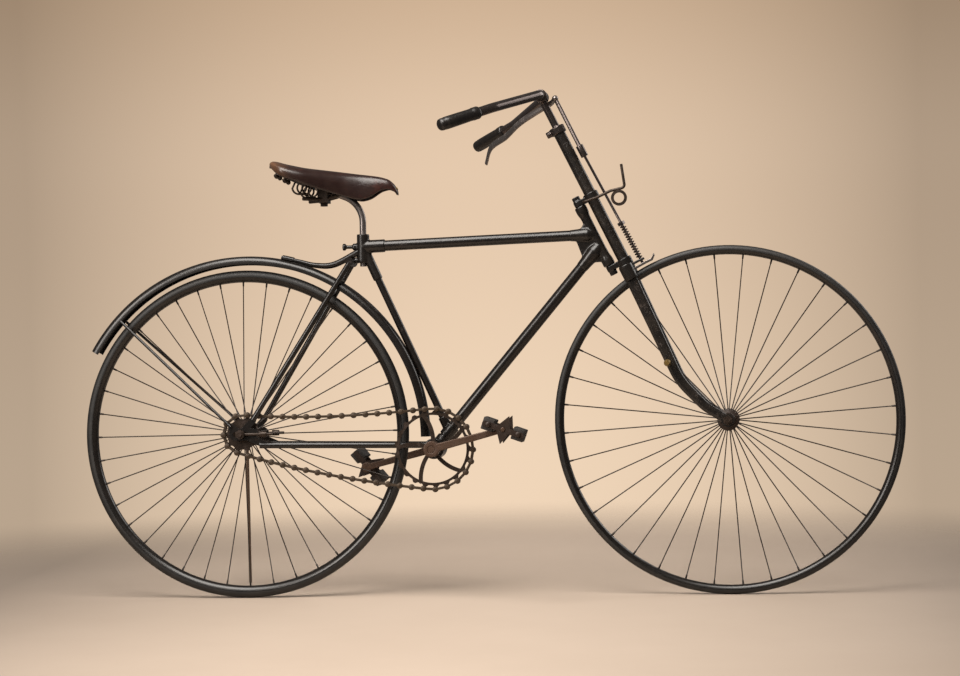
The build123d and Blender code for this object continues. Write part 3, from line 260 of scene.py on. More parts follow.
painted_end_shade = math_node(tree, "MAXIMUM", minus(tree, 1.04, across), 0.45)
tree.links.new(mix_colour(tree, 1.0, tone, painted_end_shade, "MULTIPLY"), shader.inputs["Base Color"])
shader.inputs["Roughness"].default_value = 0.85
clear = node(tree, "ShaderNodeBsdfTransparent")
blend = node(tree, "ShaderNodeMixShader", inputs={0: fade, 1: clear.outputs[0], 2: shader.outputs[0]})
tree.links.new(blend.outputs[0], tree.nodes["Material Output"].inputs["Surface"])
floor.data.materials.append(material)
floor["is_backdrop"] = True
print("floor", floor_radius, "m")

# %% [markdown]
# ### Backdrop
# The backdrop is the world's colour as the camera sees it. It is lightest near the floor, darker above
# and falls off towards both sides, as one lit from the middle does. The other rays see a dim pale room.

# %% Backdrop
backdrop_low_colour = (0.78, 0.60, 0.435, 1)
backdrop_colour = (0.70, 0.525, 0.375, 1)
backdrop_high_colour = (0.52, 0.365, 0.24, 1)
room_colour = (0.80, 0.74, 0.68, 1)
room_strength = 0.16
side_middle = -0.096
world = bpy.data.worlds.new("studio")
bpy.context.scene.world = world
world.use_nodes = True
tree = world.node_tree
background = tree.nodes["Background"]
path = node(tree, "ShaderNodeLightPath")
seen = math_node(tree, "MAXIMUM", path.outputs["Is Camera Ray"], path.outputs["Is Transmission Ray"])
ray = node(tree, "ShaderNodeTexCoord").outputs["Generated"]
height = node(tree, "ShaderNodeSeparateXYZ", inputs={0: ray}).outputs["Z"]
tones = [(0.33, backdrop_low_colour), (0.62, backdrop_colour), (0.86, backdrop_high_colour)]
sky = ramp(tree, plus(tree, times(tree, height, 2.2), 0.5), tones, "EASE")
aside = node(tree, "ShaderNodeSeparateXYZ", inputs={0: ray}).outputs["X"]
aside = math_node(tree, "POWER", math_node(tree, "ABSOLUTE", minus(tree, aside, side_middle)), 2.0)
fall = math_node(tree, "MAXIMUM", minus(tree, 1.12, times(tree, aside, 14.0)), 0.62)
sky = mix_colour(tree, 1.0, sky, fall, "MULTIPLY")
tree.links.new(mix_colour(tree, seen, room_colour, sky), background.inputs["Color"])
strength = plus(tree, times(tree, seen, 1 - room_strength), room_strength)
tree.links.new(strength, background.inputs["Strength"])
print("backdrop", world.name)

# %% [markdown]
# ### Lamps
# A broad lamp hangs overhead, one fills from the left in front and a weaker one edges the tubes from
# behind. Each is turned to the middle of the bicycle.

# %% Lamps
lamp_target = Vector((0, 0, 0.5))
# Each lamp: name, place, size in metres, power in watts, colour
lamps = (
    ("overhead", (-0.6, -1.6, 3.4), 2.6, 215, (1.0, 0.95, 0.89)),
    ("left_front", (-3.2, -3.4, 2.2), 1.8, 120, (1.0, 0.93, 0.86)),
    ("right_back", (3.0, 2.2, 2.4), 2.4, 60, (1.0, 0.96, 0.92)),
)
for name, spot, size, power, colour in lamps:
    deselect()
    bpy.ops.object.light_add(type="AREA", location=spot)
    lamp = bpy.context.object
    lamp.name = "lamp_" + name
    lamp.data.shape = "SQUARE"
    lamp.data.size = size
    lamp.data.energy = power
    lamp.data.color = colour
    aim = lamp_target - Vector(spot)
    lamp.rotation_euler = aim.to_track_quat("-Z", "Y").to_euler()
print("lamps", len(lamps))

# %% [markdown]
# ## Finishes
# Everything here is a century old. The black enamel has gone brown and chipped through to rust, the steel
# that was never painted carries a fine brown rust, the nickel is stained, and the rubber has turned
# grey. Four effects are shared by most of these finishes, so each is one node group: mottling, pitting,
# scratches and dust. A group gives only a mask or a height, and each material decides what it does.

# %% Shared effects
def new_group(name, inputs, outputs):
    """A node group with named sockets, each input a name and a value."""
    group = bpy.data.node_groups.new(name, "ShaderNodeTree")
    for label, value in inputs:
        socket = group.interface.new_socket(name=label, in_out="INPUT", socket_type="NodeSocketFloat")
        socket.default_value = value
    for label in outputs:
        group.interface.new_socket(name=label, in_out="OUTPUT", socket_type="NodeSocketFloat")
    source = group.nodes.new("NodeGroupInput").outputs
    target = group.nodes.new("NodeGroupOutput").inputs
    return group, source, target


def object_place(tree, scale, stretch=(1, 1, 1), turn=(0, 0, 0)):
    """Object coordinates scaled by a value or a socket, and stretched along an axis."""
    spot = node(tree, "ShaderNodeTexCoord").outputs["Object"]
    mapping = {"Vector": spot, "Rotation": turn, "Scale": stretch}
    spot = node(tree, "ShaderNodeMapping", inputs=mapping).outputs[0]
    return node(tree, "ShaderNodeVectorMath", {"operation": "SCALE"}, {0: spot, "Scale": scale}).outputs[0]


def noise(tree, scale, fineness, detail, roughness):
    """A cloudy pattern on Object coordinates, finer than its scale by a factor."""
    spot = object_place(tree, scale)
    inputs = {"Vector": spot, "Scale": fineness, "Detail": detail, "Roughness": roughness}
    return node(tree, "ShaderNodeTexNoise", inputs=inputs).outputs["Fac"]


def cracks(tree, spot):
    """The distance to the edges of small cells."""
    settings = {"feature": "DISTANCE_TO_EDGE"}
    pattern = node(tree, "ShaderNodeTexVoronoi", settings, {"Vector": spot, "Scale": 1.0})
    return pattern.outputs["Distance"]


mottle_inputs = (("Scale", 30.0), ("Amount", 0.5), ("Softness", 0.1))
mottle_group, source, target = new_group("mottle", mottle_inputs, ("Mask", "Fine"))
tree = mottle_group
large = noise(tree, source["Scale"], 1.0, 8, 0.68)
fine = noise(tree, source["Scale"], 6.5, 6, 0.7)
both = plus(tree, times(tree, large, 0.62), times(tree, fine, 0.38))
edge = minus(tree, 0.72, times(tree, source["Amount"], 0.44))
lifted = minus(tree, both, edge)
tree.links.new(math_node(tree, "DIVIDE", lifted, source["Softness"], clamp=True), target["Mask"])
tree.links.new(fine, target["Fine"])

pit_group, source, target = new_group("pits", (("Scale", 400.0), ("Amount", 0.4)), ("Mask",))
tree = pit_group
spot = object_place(tree, source["Scale"])
cell_inputs = {"Vector": spot, "Scale": 1.0, "Randomness": 1.0}
cells = node(tree, "ShaderNodeTexVoronoi", {"feature": "F1"}, cell_inputs)
patch = noise(tree, source["Scale"], 0.16, 3, 0.6)
size = times(tree, times(tree, minus(tree, patch, 0.42), 1.6), source["Amount"])
tree.links.new(times(tree, minus(tree, size, cells.outputs["Distance"]), 5.0, True), target["Mask"])

scratch_group, source, target = new_group("scratches", (("Scale", 120.0), ("Amount", 0.3)), ("Mask",))
tree = scratch_group
streaks = []
for turn in ((0.3, 0.2, 0.9), (1.1, 0.7, 0.1)):
    spot = object_place(tree, source["Scale"], (1, 0.06, 1), turn)
    line_inputs = {"Vector": spot, "Scale": 1.0, "Detail": 3, "Roughness": 0.5}
    lines = node(tree, "ShaderNodeTexNoise", inputs=line_inputs)
    streaks.append(minus(tree, lines.outputs["Fac"], 0.68))
strongest = math_node(tree, "MAXIMUM", *streaks)
tree.links.new(
    times(tree, times(tree, strongest, 14.0, True), source["Amount"], True),
    target["Mask"],
)

dust_group, source, target = new_group("dust", (("Scale", 18.0), ("Amount", 0.3)), ("Mask",))
tree = dust_group
cloud = noise(tree, source["Scale"], 1.0, 7, 0.72)
speck = noise(tree, source["Scale"], 38.0, 2, 0.5)
film = times(tree, minus(tree, cloud, 0.40), 2.2, True)
specks = times(tree, minus(tree, speck, 0.62), 6.0, True)
total = plus(tree, times(tree, film, 0.6), times(tree, specks, 0.6))
tree.links.new(times(tree, total, source["Amount"], True), target["Mask"])


def effect(tree, group, **values):
    """A shared effect placed in a material with its own values."""
    made = node(tree, "ShaderNodeGroup", {"node_tree": group})
    for label, value in values.items():
        made.inputs[label].default_value = value
    return made.outputs


print("shared effects", [group.name for group in (mottle_group, pit_group, scratch_group, dust_group)])

# %% [markdown]
# ### Painted, bare and plated metal
# One recipe covers the metals: a skin over a rusty ground. The mottle mask says where the skin is gone,
# pits eat into both, and dust lies over all. What differs between the frame's enamel, the nickel and the
# plain steel is the skin's colour, its metal, its gloss and how much of it has gone.

# %% Metal finishes
def metal(
    name, skin, ground, worn, scale, skin_rough, ground_rough, skin_metal,
    pits=0.45, dust=0.2, scratch=0.3, softness=0.12, bump=0.00025,
):
    """A skin over rusty ground: skin and ground are a dark and a light colour each."""
    material, tree, shader = new_material(name)
    worn_mask = effect(tree, mottle_group, Scale=scale, Amount=worn, Softness=softness)
    tint = effect(tree, mottle_group, Scale=scale * 2.3, Amount=0.5, Softness=0.5)
    pit_mask = effect(tree, pit_group, Scale=scale * 13, Amount=pits)["Mask"]
    line_mask = effect(tree, scratch_group, Scale=scale * 5, Amount=scratch)["Mask"]
    dust_mask = effect(tree, dust_group, Scale=scale * 0.6, Amount=dust)["Mask"]
    skin_colour = mix_colour(tree, tint["Fine"], (*skin[0], 1), (*skin[1], 1))
    ground_colour = mix_colour(tree, tint["Mask"], (*ground[0], 1), (*ground[1], 1))
    colour = mix_colour(tree, worn_mask["Mask"], skin_colour, ground_colour)
    colour = mix_colour(tree, line_mask, colour, (*ground[1], 1))
    colour = mix_colour(tree, times(tree, pit_mask, 0.8), colour, (*ground[0], 1))
    colour = mix_colour(tree, dust_mask, colour, (0.30, 0.23, 0.17, 1))
    tree.links.new(colour, shader.inputs["Base Color"])
    rough = plus(tree, skin_rough, times(tree, worn_mask["Mask"], ground_rough - skin_rough))
    rough = plus(tree, rough, times(tree, tint["Fine"], 0.12))
    rough = plus(tree, rough, times(tree, dust_mask, 0.3), True)
    tree.links.new(rough, shader.inputs["Roughness"])
    bare = minus(tree, 1.0, worn_mask["Mask"])
    tree.links.new(times(tree, bare, skin_metal), shader.inputs["Metallic"])
    relief = minus(tree, times(tree, bare, 0.5), pit_mask)
    relief = plus(tree, relief, times(tree, tint["Fine"], 0.55))
    bumped = node(tree, "ShaderNodeBump", inputs={"Strength": 0.75, "Distance": bump, "Height": relief})
    tree.links.new(bumped.outputs[0], shader.inputs["Normal"])
    return material


rust = ((0.022, 0.009, 0.005), (0.085, 0.038, 0.019))
rust_bright = ((0.032, 0.012, 0.006), (0.150, 0.060, 0.024))
black = ((0.0022, 0.0017, 0.0015), (0.0065, 0.0045, 0.0035))
old_paint = ((0.010, 0.005, 0.003), (0.044, 0.020, 0.010))
finishes = {
    "enamel": metal(
        "worn_enamel", black, old_paint,
        worn=0.30, scale=34, skin_rough=0.22, ground_rough=0.50, skin_metal=0.0, pits=0.4, dust=0.05,
        scratch=0.25, bump=0.00008,
    ),
    "tube": metal(
        "frame_tube_enamel", black, old_paint,
        worn=0.38, scale=28, skin_rough=0.20, ground_rough=0.46, skin_metal=0.0, pits=0.45, dust=0.06,
        scratch=0.45, bump=0.00008,
    ),
    "column": metal(
        "pitted_column",
        black,
        ((0.020, 0.010, 0.006), (0.12, 0.074, 0.046)),
        worn=0.36, scale=50, skin_rough=0.22, ground_rough=0.60, skin_metal=0.0, pits=0.8, dust=0.14,
        scratch=0.3, softness=0.08, bump=0.0004,
    ),
    "steel": metal(
        "rusty_steel",
        ((0.014, 0.009, 0.006), (0.044, 0.028, 0.019)),
        rust,
        worn=0.46, scale=60, skin_rough=0.32, ground_rough=0.60, skin_metal=0.55, pits=0.6, dust=0.10,
        scratch=0.3, bump=0.00012,
    ),
    "crank": metal(
        "rusty_cranks",
        ((0.030, 0.014, 0.008), (0.100, 0.054, 0.032)),
        rust_bright,
        worn=0.50, scale=55, skin_rough=0.36, ground_rough=0.64, skin_metal=0.40, pits=0.7, dust=0.20,
        scratch=0.4,
    ),
    "nickel": metal(
        "stained_nickel",
        ((0.150, 0.128, 0.118), (0.330, 0.300, 0.290)),
        rust,
        worn=0.42, scale=50, skin_rough=0.24, ground_rough=0.50, skin_metal=0.95, pits=0.4, dust=0.06,
        scratch=0.5, softness=0.15, bump=0.00006,
    ),
    "bar": metal(
        "brown_nickel",
        ((0.040, 0.028, 0.023), (0.170, 0.145, 0.140)),
        rust,
        worn=0.38, scale=42, skin_rough=0.16, ground_rough=0.46, skin_metal=0.9, pits=0.4, dust=0.05,
        scratch=0.5, softness=0.3, bump=0.0001,
    ),
    "wire": metal(
        "dark_wire",
        ((0.008, 0.0055, 0.004), (0.026, 0.017, 0.013)),
        rust,
        worn=0.32, scale=70, skin_rough=0.34, ground_rough=0.60, skin_metal=0.4, pits=0.3, dust=0.10,
        scratch=0.2,
    ),
    "chain": metal(
        "chain_steel",
        ((0.022, 0.014, 0.008), (0.075, 0.050, 0.030)),
        ((0.026, 0.014, 0.007), (0.125, 0.082, 0.044)),
        worn=0.48, scale=90, skin_rough=0.34, ground_rough=0.62, skin_metal=0.55, pits=0.5, dust=0.20,
        scratch=0.2,
    ),
    "hub": metal(
        "rusty_hub",
        ((0.010, 0.005, 0.003), (0.032, 0.016, 0.009)),
        ((0.014, 0.006, 0.003), (0.075, 0.028, 0.011)),
        worn=0.46, scale=70, skin_rough=0.40, ground_rough=0.66, skin_metal=0.3, pits=0.7, dust=0.08,
        scratch=0.2, bump=0.00012,
    ),
    "brass": metal(
        "dull_brass",
        ((0.230, 0.140, 0.040), (0.400, 0.270, 0.095)),
        ((0.085, 0.046, 0.016), (0.200, 0.120, 0.045)),
        worn=0.46, scale=75, skin_rough=0.30, ground_rough=0.60, skin_metal=0.9, pits=0.5, dust=0.1,
        scratch=0.4,
    ),
    "prop": metal(
        "prop_rod_steel",
        ((0.070, 0.046, 0.032), (0.170, 0.118, 0.086)),
        ((0.046, 0.024, 0.014), (0.125, 0.076, 0.050)),
        worn=0.40, scale=40, skin_rough=0.36, ground_rough=0.60, skin_metal=0.4, pits=0.3, dust=0.2,
        scratch=0.3,
    ),
}
print("metal finishes", len(finishes))

# %% [markdown]
# ### Rubber and leather
# Old rubber is a dark charcoal with a bloom of grey and fine cracks. The leather is oxblood, almost black
# where it is polished by use and tan where the surface is rubbed off, with a fine grain of small cells.

# %% Rubber finishes
def rubber(name, dark, light, scale, rough, crack, dust, sheen=0.0):
    """Charcoal rubber with a grey bloom, fine cracks and dust."""
    material, tree, shader = new_material(name)
    bloom = effect(tree, mottle_group, Scale=scale, Amount=0.5, Softness=0.45)
    dust_mask = effect(tree, dust_group, Scale=scale * 0.9, Amount=dust)["Mask"]
    colour = mix_colour(tree, bloom["Mask"], (*dark, 1), (*light, 1))
    cells = cracks(tree, object_place(tree, scale * 12))
    line = minus(tree, 1.0, times(tree, cells, 12.0, True))
    line = times(tree, line, times(tree, bloom["Mask"], crack), True)
    colour = mix_colour(tree, line, colour, (0.006, 0.005, 0.005, 1))
    colour = mix_colour(tree, dust_mask, colour, (0.24, 0.20, 0.165, 1))
    tree.links.new(colour, shader.inputs["Base Color"])
    shine = plus(tree, rough, times(tree, bloom["Fine"], 0.25), True)
    tree.links.new(shine, shader.inputs["Roughness"])
    relief = minus(tree, times(tree, bloom["Fine"], 0.6), line)
    bumped = node(tree, "ShaderNodeBump", inputs={"Strength": 0.6, "Distance": 0.0003, "Height": relief})
    tree.links.new(bumped.outputs[0], shader.inputs["Normal"])
    shader.inputs["Sheen Weight"].default_value = sheen
    return material


finishes["tyre"] = rubber("tyre_rubber", (0.0045, 0.004, 0.0038), (0.019, 0.016, 0.014), 30, 0.42, 0.5, 0.12)
finishes["grip"] = rubber("grip_horn", (0.004, 0.003, 0.0025), (0.018, 0.011, 0.008), 45, 0.22, 0.3, 0.08)
finishes["pedal"] = rubber("pedal_rubber", (0.008, 0.006, 0.005), (0.034, 0.024, 0.018), 60, 0.58, 0.7, 0.26)


# How far ahead of the rear axle the tan lip of the saddle begins to fade, in metres
rubbed_rear = 0.118


def leather(name):
    """Oxblood leather: dark polish, worn tan patches, cell grain and fine creases."""
    material, tree, shader = new_material(name)
    patches = effect(tree, mottle_group, Scale=14.0, Amount=0.42, Softness=0.35)
    rubbed = effect(tree, mottle_group, Scale=34.0, Amount=0.22, Softness=0.10)
    dust_mask = effect(tree, dust_group, Scale=40.0, Amount=0.08)["Mask"]
    colour = mix_colour(tree, patches["Mask"], (0.012, 0.0028, 0.0018, 1), (0.105, 0.013, 0.006, 1))
    colour = mix_colour(tree, rubbed["Mask"], colour, (0.20, 0.080, 0.036, 1))
    spot = node(tree, "ShaderNodeTexCoord").outputs["Object"]
    along = node(tree, "ShaderNodeSeparateXYZ", inputs={0: spot}).outputs["X"]
    rear = times(tree, minus(tree, stand_frame.translation.x + rubbed_rear, along), 16.0, True)
    rear = times(tree, rear, plus(tree, times(tree, patches["Fine"], 0.9), 0.1), True)
    colour = mix_colour(tree, rear, colour, (0.235, 0.115, 0.055, 1))
    colour = mix_colour(tree, dust_mask, colour, (0.30, 0.20, 0.14, 1))
    tree.links.new(colour, shader.inputs["Base Color"])
    shader.inputs["Coat Weight"].default_value = 0.2
    shader.inputs["Coat Roughness"].default_value = 0.22
    grain = cracks(tree, object_place(tree, 620.0))
    crease = cracks(tree, object_place(tree, 85.0, (1, 0.45, 1)))
    relief = plus(tree, grain, times(tree, times(tree, crease, 9.0, True), 0.7))
    relief = minus(tree, relief, times(tree, rubbed["Mask"], 0.5))
    bumped = node(tree, "ShaderNodeBump", inputs={"Strength": 0.6, "Distance": 0.00018, "Height": relief})
    tree.links.new(bumped.outputs[0], shader.inputs["Normal"])
    rough = plus(tree, 0.24, times(tree, patches["Fine"], 0.22))
    rough = plus(tree, rough, times(tree, rubbed["Mask"], 0.35), True)
    tree.links.new(rough, shader.inputs["Roughness"])
    return material


finishes["leather"] = leather("oxblood_leather")
print("all finishes", sorted(finishes))

# %% [markdown]
# ## Dressing the model's own pieces
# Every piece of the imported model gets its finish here. Those that a later cell models again are hidden by
# it, and keep this finish only as a safeguard.

# %% Finishes for the model's nodes
node_finishes = {
    "tube": ("top_tube", "down_tube", "seat_tube", "seat_stays", "chain_stays"),
    "enamel": ("neck", "seat_lug", "seat_tube_foot", "bottom_bracket", "rear_dropouts", "mudguard",
               "mudguard_stays", "mudguard_rod", "fork_crown", "steering_arms", "rear_rim", "front_rim"),
    "column": ("steering_column", "fork_blades"),
    "steel": ("rear_axle", "front_axle", "chain_adjusters", "lamp_bracket", "saddle_frame", "saddle_cantle",
              "saddle_springs", "saddle_clamp", "brake_spring", "sprocket", "chainwheel"),
    "crank": ("crank_axle", "crank_right", "crank_left"),
    "hub": ("rear_hub", "front_hub", "pedal_right_frame", "pedal_left_frame"),
    "nickel": ("seat_post", "brake_spoon", "brake_lever"),
    "bar": ("handlebar_stem", "handlebar_right", "handlebar_left", "brake_rod"),
    "wire": ("rear_spokes", "front_spokes"),
    "chain": ("chain",),
    "brass": ("foot_pegs",),
    "prop": ("prop_rod",),
    "tyre": ("rear_tyre", "front_tyre"),
    "grip": ("grip_right", "grip_left"),
    "pedal": ("pedal_right_rubbers", "pedal_left_rubbers"),
    "leather": ("saddle_leather",),
}
for finish, names in node_finishes.items():
    for name in names:
        mesh = nodes[name].data
        mesh.materials.clear()
        mesh.materials.append(finishes[finish])
dressed = {name for names in node_finishes.values() for name in names}
print("dressed", len(dressed), "left bare", sorted(set(nodes) - dressed))

# %% [markdown]
# ## Tools for modelling
# Four ways of making cover the new pieces. What is round is turned: a circle is pulled along and resized,
# point by point, as on a lathe. Wire is drawn along a line and given its thickness, and an oval bar is a
# grid rolled round such a line. Leather and sheet are formed: a flat grid is laid over a shape that a
# short table gives, and then thickened. Each finished piece is moved to the standing bicycle, and rides
# on the body that carries it.

# %% Adding, selecting and finishing
def add(kind, name, **settings):
    """A primitive at its size and place, with nothing else selected."""
    deselect()
    getattr(bpy.ops.mesh, "primitive_" + kind + "_add")(**settings)
    made = bpy.context.object
    made.name = name
    return made


def clean(made, distance=2e-6):
    """Closes the seams, turns the normals outward and leaves edit mode."""
    bpy.ops.object.mode_set(mode="EDIT")
    bpy.ops.mesh.select_all(action="SELECT")
    bpy.ops.mesh.remove_doubles(threshold=distance)
    bpy.ops.mesh.normals_make_consistent(inside=False)
    bpy.ops.object.mode_set(mode="OBJECT")
    return made


def apply(made, kind, **settings):
    """A modifier with its settings, applied at once."""
    deselect()
    made.select_set(True)
    bpy.context.view_layer.objects.active = made
    modifier = made.modifiers.new(kind.lower(), kind)
    for key, value in settings.items():
        setattr(modifier, key, value)
    bpy.ops.object.modifier_apply(modifier=modifier.name)
    return made


def join(pieces, name):
    deselect()
    for piece in pieces:
        piece.select_set(True)
    bpy.context.view_layer.objects.active = pieces[0]
    bpy.ops.object.join()
    pieces[0].name = name
    return pieces[0]


def copies(model, places, name):
    """The model copied to each place, each copy with its own mesh, and joined into one piece."""
    made = []
    for place in places:
        copy = model.copy()
        copy.data = model.data.copy()
        bpy.context.collection.objects.link(copy)
        copy.matrix_world = place @ model.matrix_world
        made.append(copy)
    bpy.data.objects.remove(model)
    return join(made, name)


def seat(piece, body, finish, place=Matrix(), smooth=35):
    """Moves a piece from the upright to the standing bicycle, and gives it its finish and its body."""
    deselect()
    piece.select_set(True)
    bpy.context.view_layer.objects.active = piece
    piece.matrix_world = stands[body] @ place @ piece.matrix_world
    bpy.ops.object.transform_apply(location=True, rotation=True, scale=True)
    bpy.ops.object.shade_smooth_by_angle(angle=radians(smooth))
    piece.data.materials.clear()
    piece.data.materials.append(finishes[finish])
    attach(piece, body)
    print(piece.name, "faces", len(piece.data.polygons))
    return piece


# %% [markdown]
# ### Ways of making
# These are the lathe, the wire and coil, the formed sheet and the oval bar. All of them close their ends,
# so that each piece is a solid body of metal, rubber or leather.

# %% Turning, drawing wire and forming sheet
def turned(name, profile, steps=48, loop=False):
    """A piece turned about Z: a circle drawn out and resized from each point of the profile to the next."""
    made = add("circle", name, vertices=steps, radius=profile[0][0], location=(0, 0, profile[0][1]))
    bpy.ops.object.mode_set(mode="EDIT")
    bpy.ops.mesh.select_all(action="SELECT")
    for (radius, height), (next_radius, next_height) in zip(profile, profile[1:]):
        bpy.ops.mesh.extrude_edges_move(TRANSFORM_OT_translate={"value": (0, 0, next_height - height)})
        share = next_radius / radius
        bpy.ops.transform.resize(value=(share, share, 1), center_override=(0, 0, next_height))
    if not loop:
        bpy.ops.mesh.select_all(action="SELECT")
        bpy.ops.mesh.fill_holes(sides=0)
    clean(made)
    bpy.ops.object.transform_apply(location=True, rotation=False, scale=False)
    return made


def wire(name, points, radius, sides=2):
    """A round wire along close points, turned into a mesh."""
    curve = bpy.data.curves.new(name, "CURVE")
    curve.dimensions = "3D"
    curve.bevel_depth = radius
    curve.bevel_resolution = sides
    curve.use_fill_caps = True
    spline = curve.splines.new("POLY")
    spline.points.add(len(points) - 1)
    for spot, point in zip(spline.points, points):
        spot.co = (*point, 1)
    made = bpy.data.objects.new(name, curve)
    bpy.context.collection.objects.link(made)
    deselect()
    made.select_set(True)
    bpy.context.view_layer.objects.active = made
    bpy.ops.object.convert(target="MESH")
    return made


def coil(name, start, way, radius, length, turns, thickness, steps=18):
    """A coil spring from a start along a direction."""
    turn = way.to_track_quat("Z", "Y").to_matrix()
    points = []
    for number in range(turns * steps + 1):
        angle = 2 * pi * number / steps
        rise = length * number / (turns * steps)
        points.append(start + turn @ Vector((radius * cos(angle), radius * sin(angle), rise)))
    return wire(name, points, thickness, 1)


def formed(name, rows, columns, shape, thickness):
    """A sheet: a flat grid laid over a form, then thickened inward."""
    made = add("grid", name, x_subdivisions=rows, y_subdivisions=columns, size=2)
    for vertex in made.data.vertices:
        vertex.co = shape((vertex.co.x + 1) / 2, (vertex.co.y + 1) / 2)
    clean(made)
    return apply(made, "SOLIDIFY", thickness=thickness, offset=-1)


def smooth_line(corners, steps=8):
    """Close points on a smooth line through the corners."""
    corners = [Vector(corner) for corner in corners]
    ends = [corners[0] * 2 - corners[1]] + corners + [corners[-1] * 2 - corners[-2]]
    points = []
    for before, start, end, after in zip(ends, ends[1:], ends[2:], ends[3:]):
        for number in range(steps):
            t = number / steps
            square = before * 2 - start * 5 + end * 4 - after
            cube = start * 3 - before - end * 3 + after
            points.append((start * 2 + (end - before) * t + square * t**2 + cube * t**3) * 0.5)
    return points + [corners[-1]]


def between(table, share):
    """The values of a table's rows at a share of its length."""
    place = min(max(share, 0.0), 1.0) * (len(table) - 1)
    index = min(int(place), len(table) - 2)
    part = place - index
    return [low + (high - low) * part for low, high in zip(table[index], table[index + 1])]


def drawn(name, corners, sizes, across, sides=16, steps=8):
    """An oval bar on a smooth line, its half width and half depth read from a table along it."""
    line = smooth_line(corners, steps)
    made = add("grid", name, x_subdivisions=len(line) - 1, y_subdivisions=sides, size=2)
    for vertex in made.data.vertices:
        along, angle = (vertex.co.x + 1) / 2, pi * (vertex.co.y + 1)
        place = along * (len(line) - 1)
        index = min(int(place), len(line) - 2)
        way = (line[index + 1] - line[index]).normalized()
        side = (across - way * across.dot(way)).normalized()
        width, depth = between(sizes, along)
        centre = line[index].lerp(line[index + 1], place - index)
        vertex.co = centre + side * width * cos(angle) + way.cross(side) * depth * sin(angle)
    clean(made, 1e-5)
    bpy.ops.object.mode_set(mode="EDIT")
    bpy.ops.mesh.select_all(action="SELECT")
    bpy.ops.mesh.fill_holes(sides=0)
    return clean(made)


def aimed(start, end):
    """The matrix that lays a piece turned about Z along the line from start to end."""
    way = Vector(end) - Vector(start)
    return Matrix.Translation(start) @ way.to_track_quat("Z", "Y").to_matrix().to_4x4()


to_side = Matrix.Rotation(-pi / 2, 4, "X")
print("tools ready")

# %% [markdown]
# ## Wheels
# Both wheels are built the same way. The tyre is solid rubber in a hollow steel rim, so its section is
# nearly a circle that sinks into the rim's lips. The front one is moulded with fine ribs along its tread.
# A spoke is a wire with a head at the hub and a nipple at the rim. It is modelled once and copied.

# %% Tyres and rims
# Each wheel: centre, radius, half width of the tyre, depth of the tread's grooves
wheels = {
    "rear": (rear_centre, rear_wheel_radius, 0.0120, 0.0),
    "front": (front_centre, front_wheel_radius, 0.0090, 0.0005),
}
rim_wall = 0.0021
section_steps = 40
for name, (centre, radius, half, groove) in wheels.items():
    ring = radius - half
    profile = []
    for number in range(section_steps + 1):
        angle = 2 * pi * number / section_steps
        tread = abs(degrees(asin(sin(angle)))) < 42 and cos(angle) > 0
        reach = half - (groove if tread and number % 2 else 0)
        profile.append((ring + reach * cos(angle), reach * sin(angle)))
    tyre = turned(name + "_tyre_rubber", profile, 144, loop=True)
    seat(tyre, name + "_wheel", "tyre", Matrix.Translation(centre) @ to_side, 50)
    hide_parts(name + "_tyre")
    outer, inner = half + rim_wall, half + 0.0002
    lip = pi - acos(0.25 * half / outer)
    profile = []
    for number in range(15):
        angle = lip + (2 * pi - 2 * lip) * number / 14
        profile.append((ring + outer * cos(angle), outer * sin(angle)))
    for number in range(15):
        angle = 2 * pi - lip - (2 * pi - 2 * lip) * number / 14
        profile.append((ring + inner * cos(angle), inner * sin(angle)))
    profile.append(profile[0])
    rim = turned(name + "_hollow_rim", profile, 144, loop=True)
    seat(rim, name + "_wheel", "enamel", Matrix.Translation(centre) @ to_side, 50)
    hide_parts(name + "_rim")

# %% [markdown]
# ### Spokes
# Straight spokes run from the two flanges, turn about, to the middle of the rim. At this size a spoke is
# two and a half millimetres of brown wire, so six sides are enough for it.

# %% Spokes with heads and nipples
flange_radius = 0.0225
# Each wheel: number of spokes, angle of the first, half the distance between flanges
spoke_sets = {"rear": (40, 0.6, 0.0280), "front": (36, 4.0, 0.0250)}
for name, (count, first, place) in spoke_sets.items():
    centre, radius, half, _ = wheels[name]
    reach = radius - 2 * half - rim_wall + 0.0004
    spots = []
    for number in range(count):
        angle = radians(first + 360 * number / count)
        side = place if number % 2 else -place
        way = Vector((cos(angle), 0, sin(angle)))
        spots.append((way * (flange_radius - 0.0018) + Vector((0, side, 0)), way * reach))
    length = (spots[0][1] - spots[0][0]).length
    spoke = turned("spoke", [
        (0.0020, 0), (0.0022, 0.0016), (0.00125, 0.0030), (0.00125, length - 0.0095),
        (0.0019, length - 0.0085), (0.0022, length),
    ], 6)
    bundle = copies(spoke, [aimed(*spot) for spot in spots], name + "_wire_spokes")
    seat(bundle, name + "_wheel", "wire", Matrix.Translation(centre), 60)
    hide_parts(name + "_spokes")

# %% [markdown]
# ### Hubs
# A hub was turned from one bar: a waisted barrel, two thin flanges for the spokes and a cup at each end.
# The rear one carries a longer neck on the right, where the small toothed wheel is screwed on.

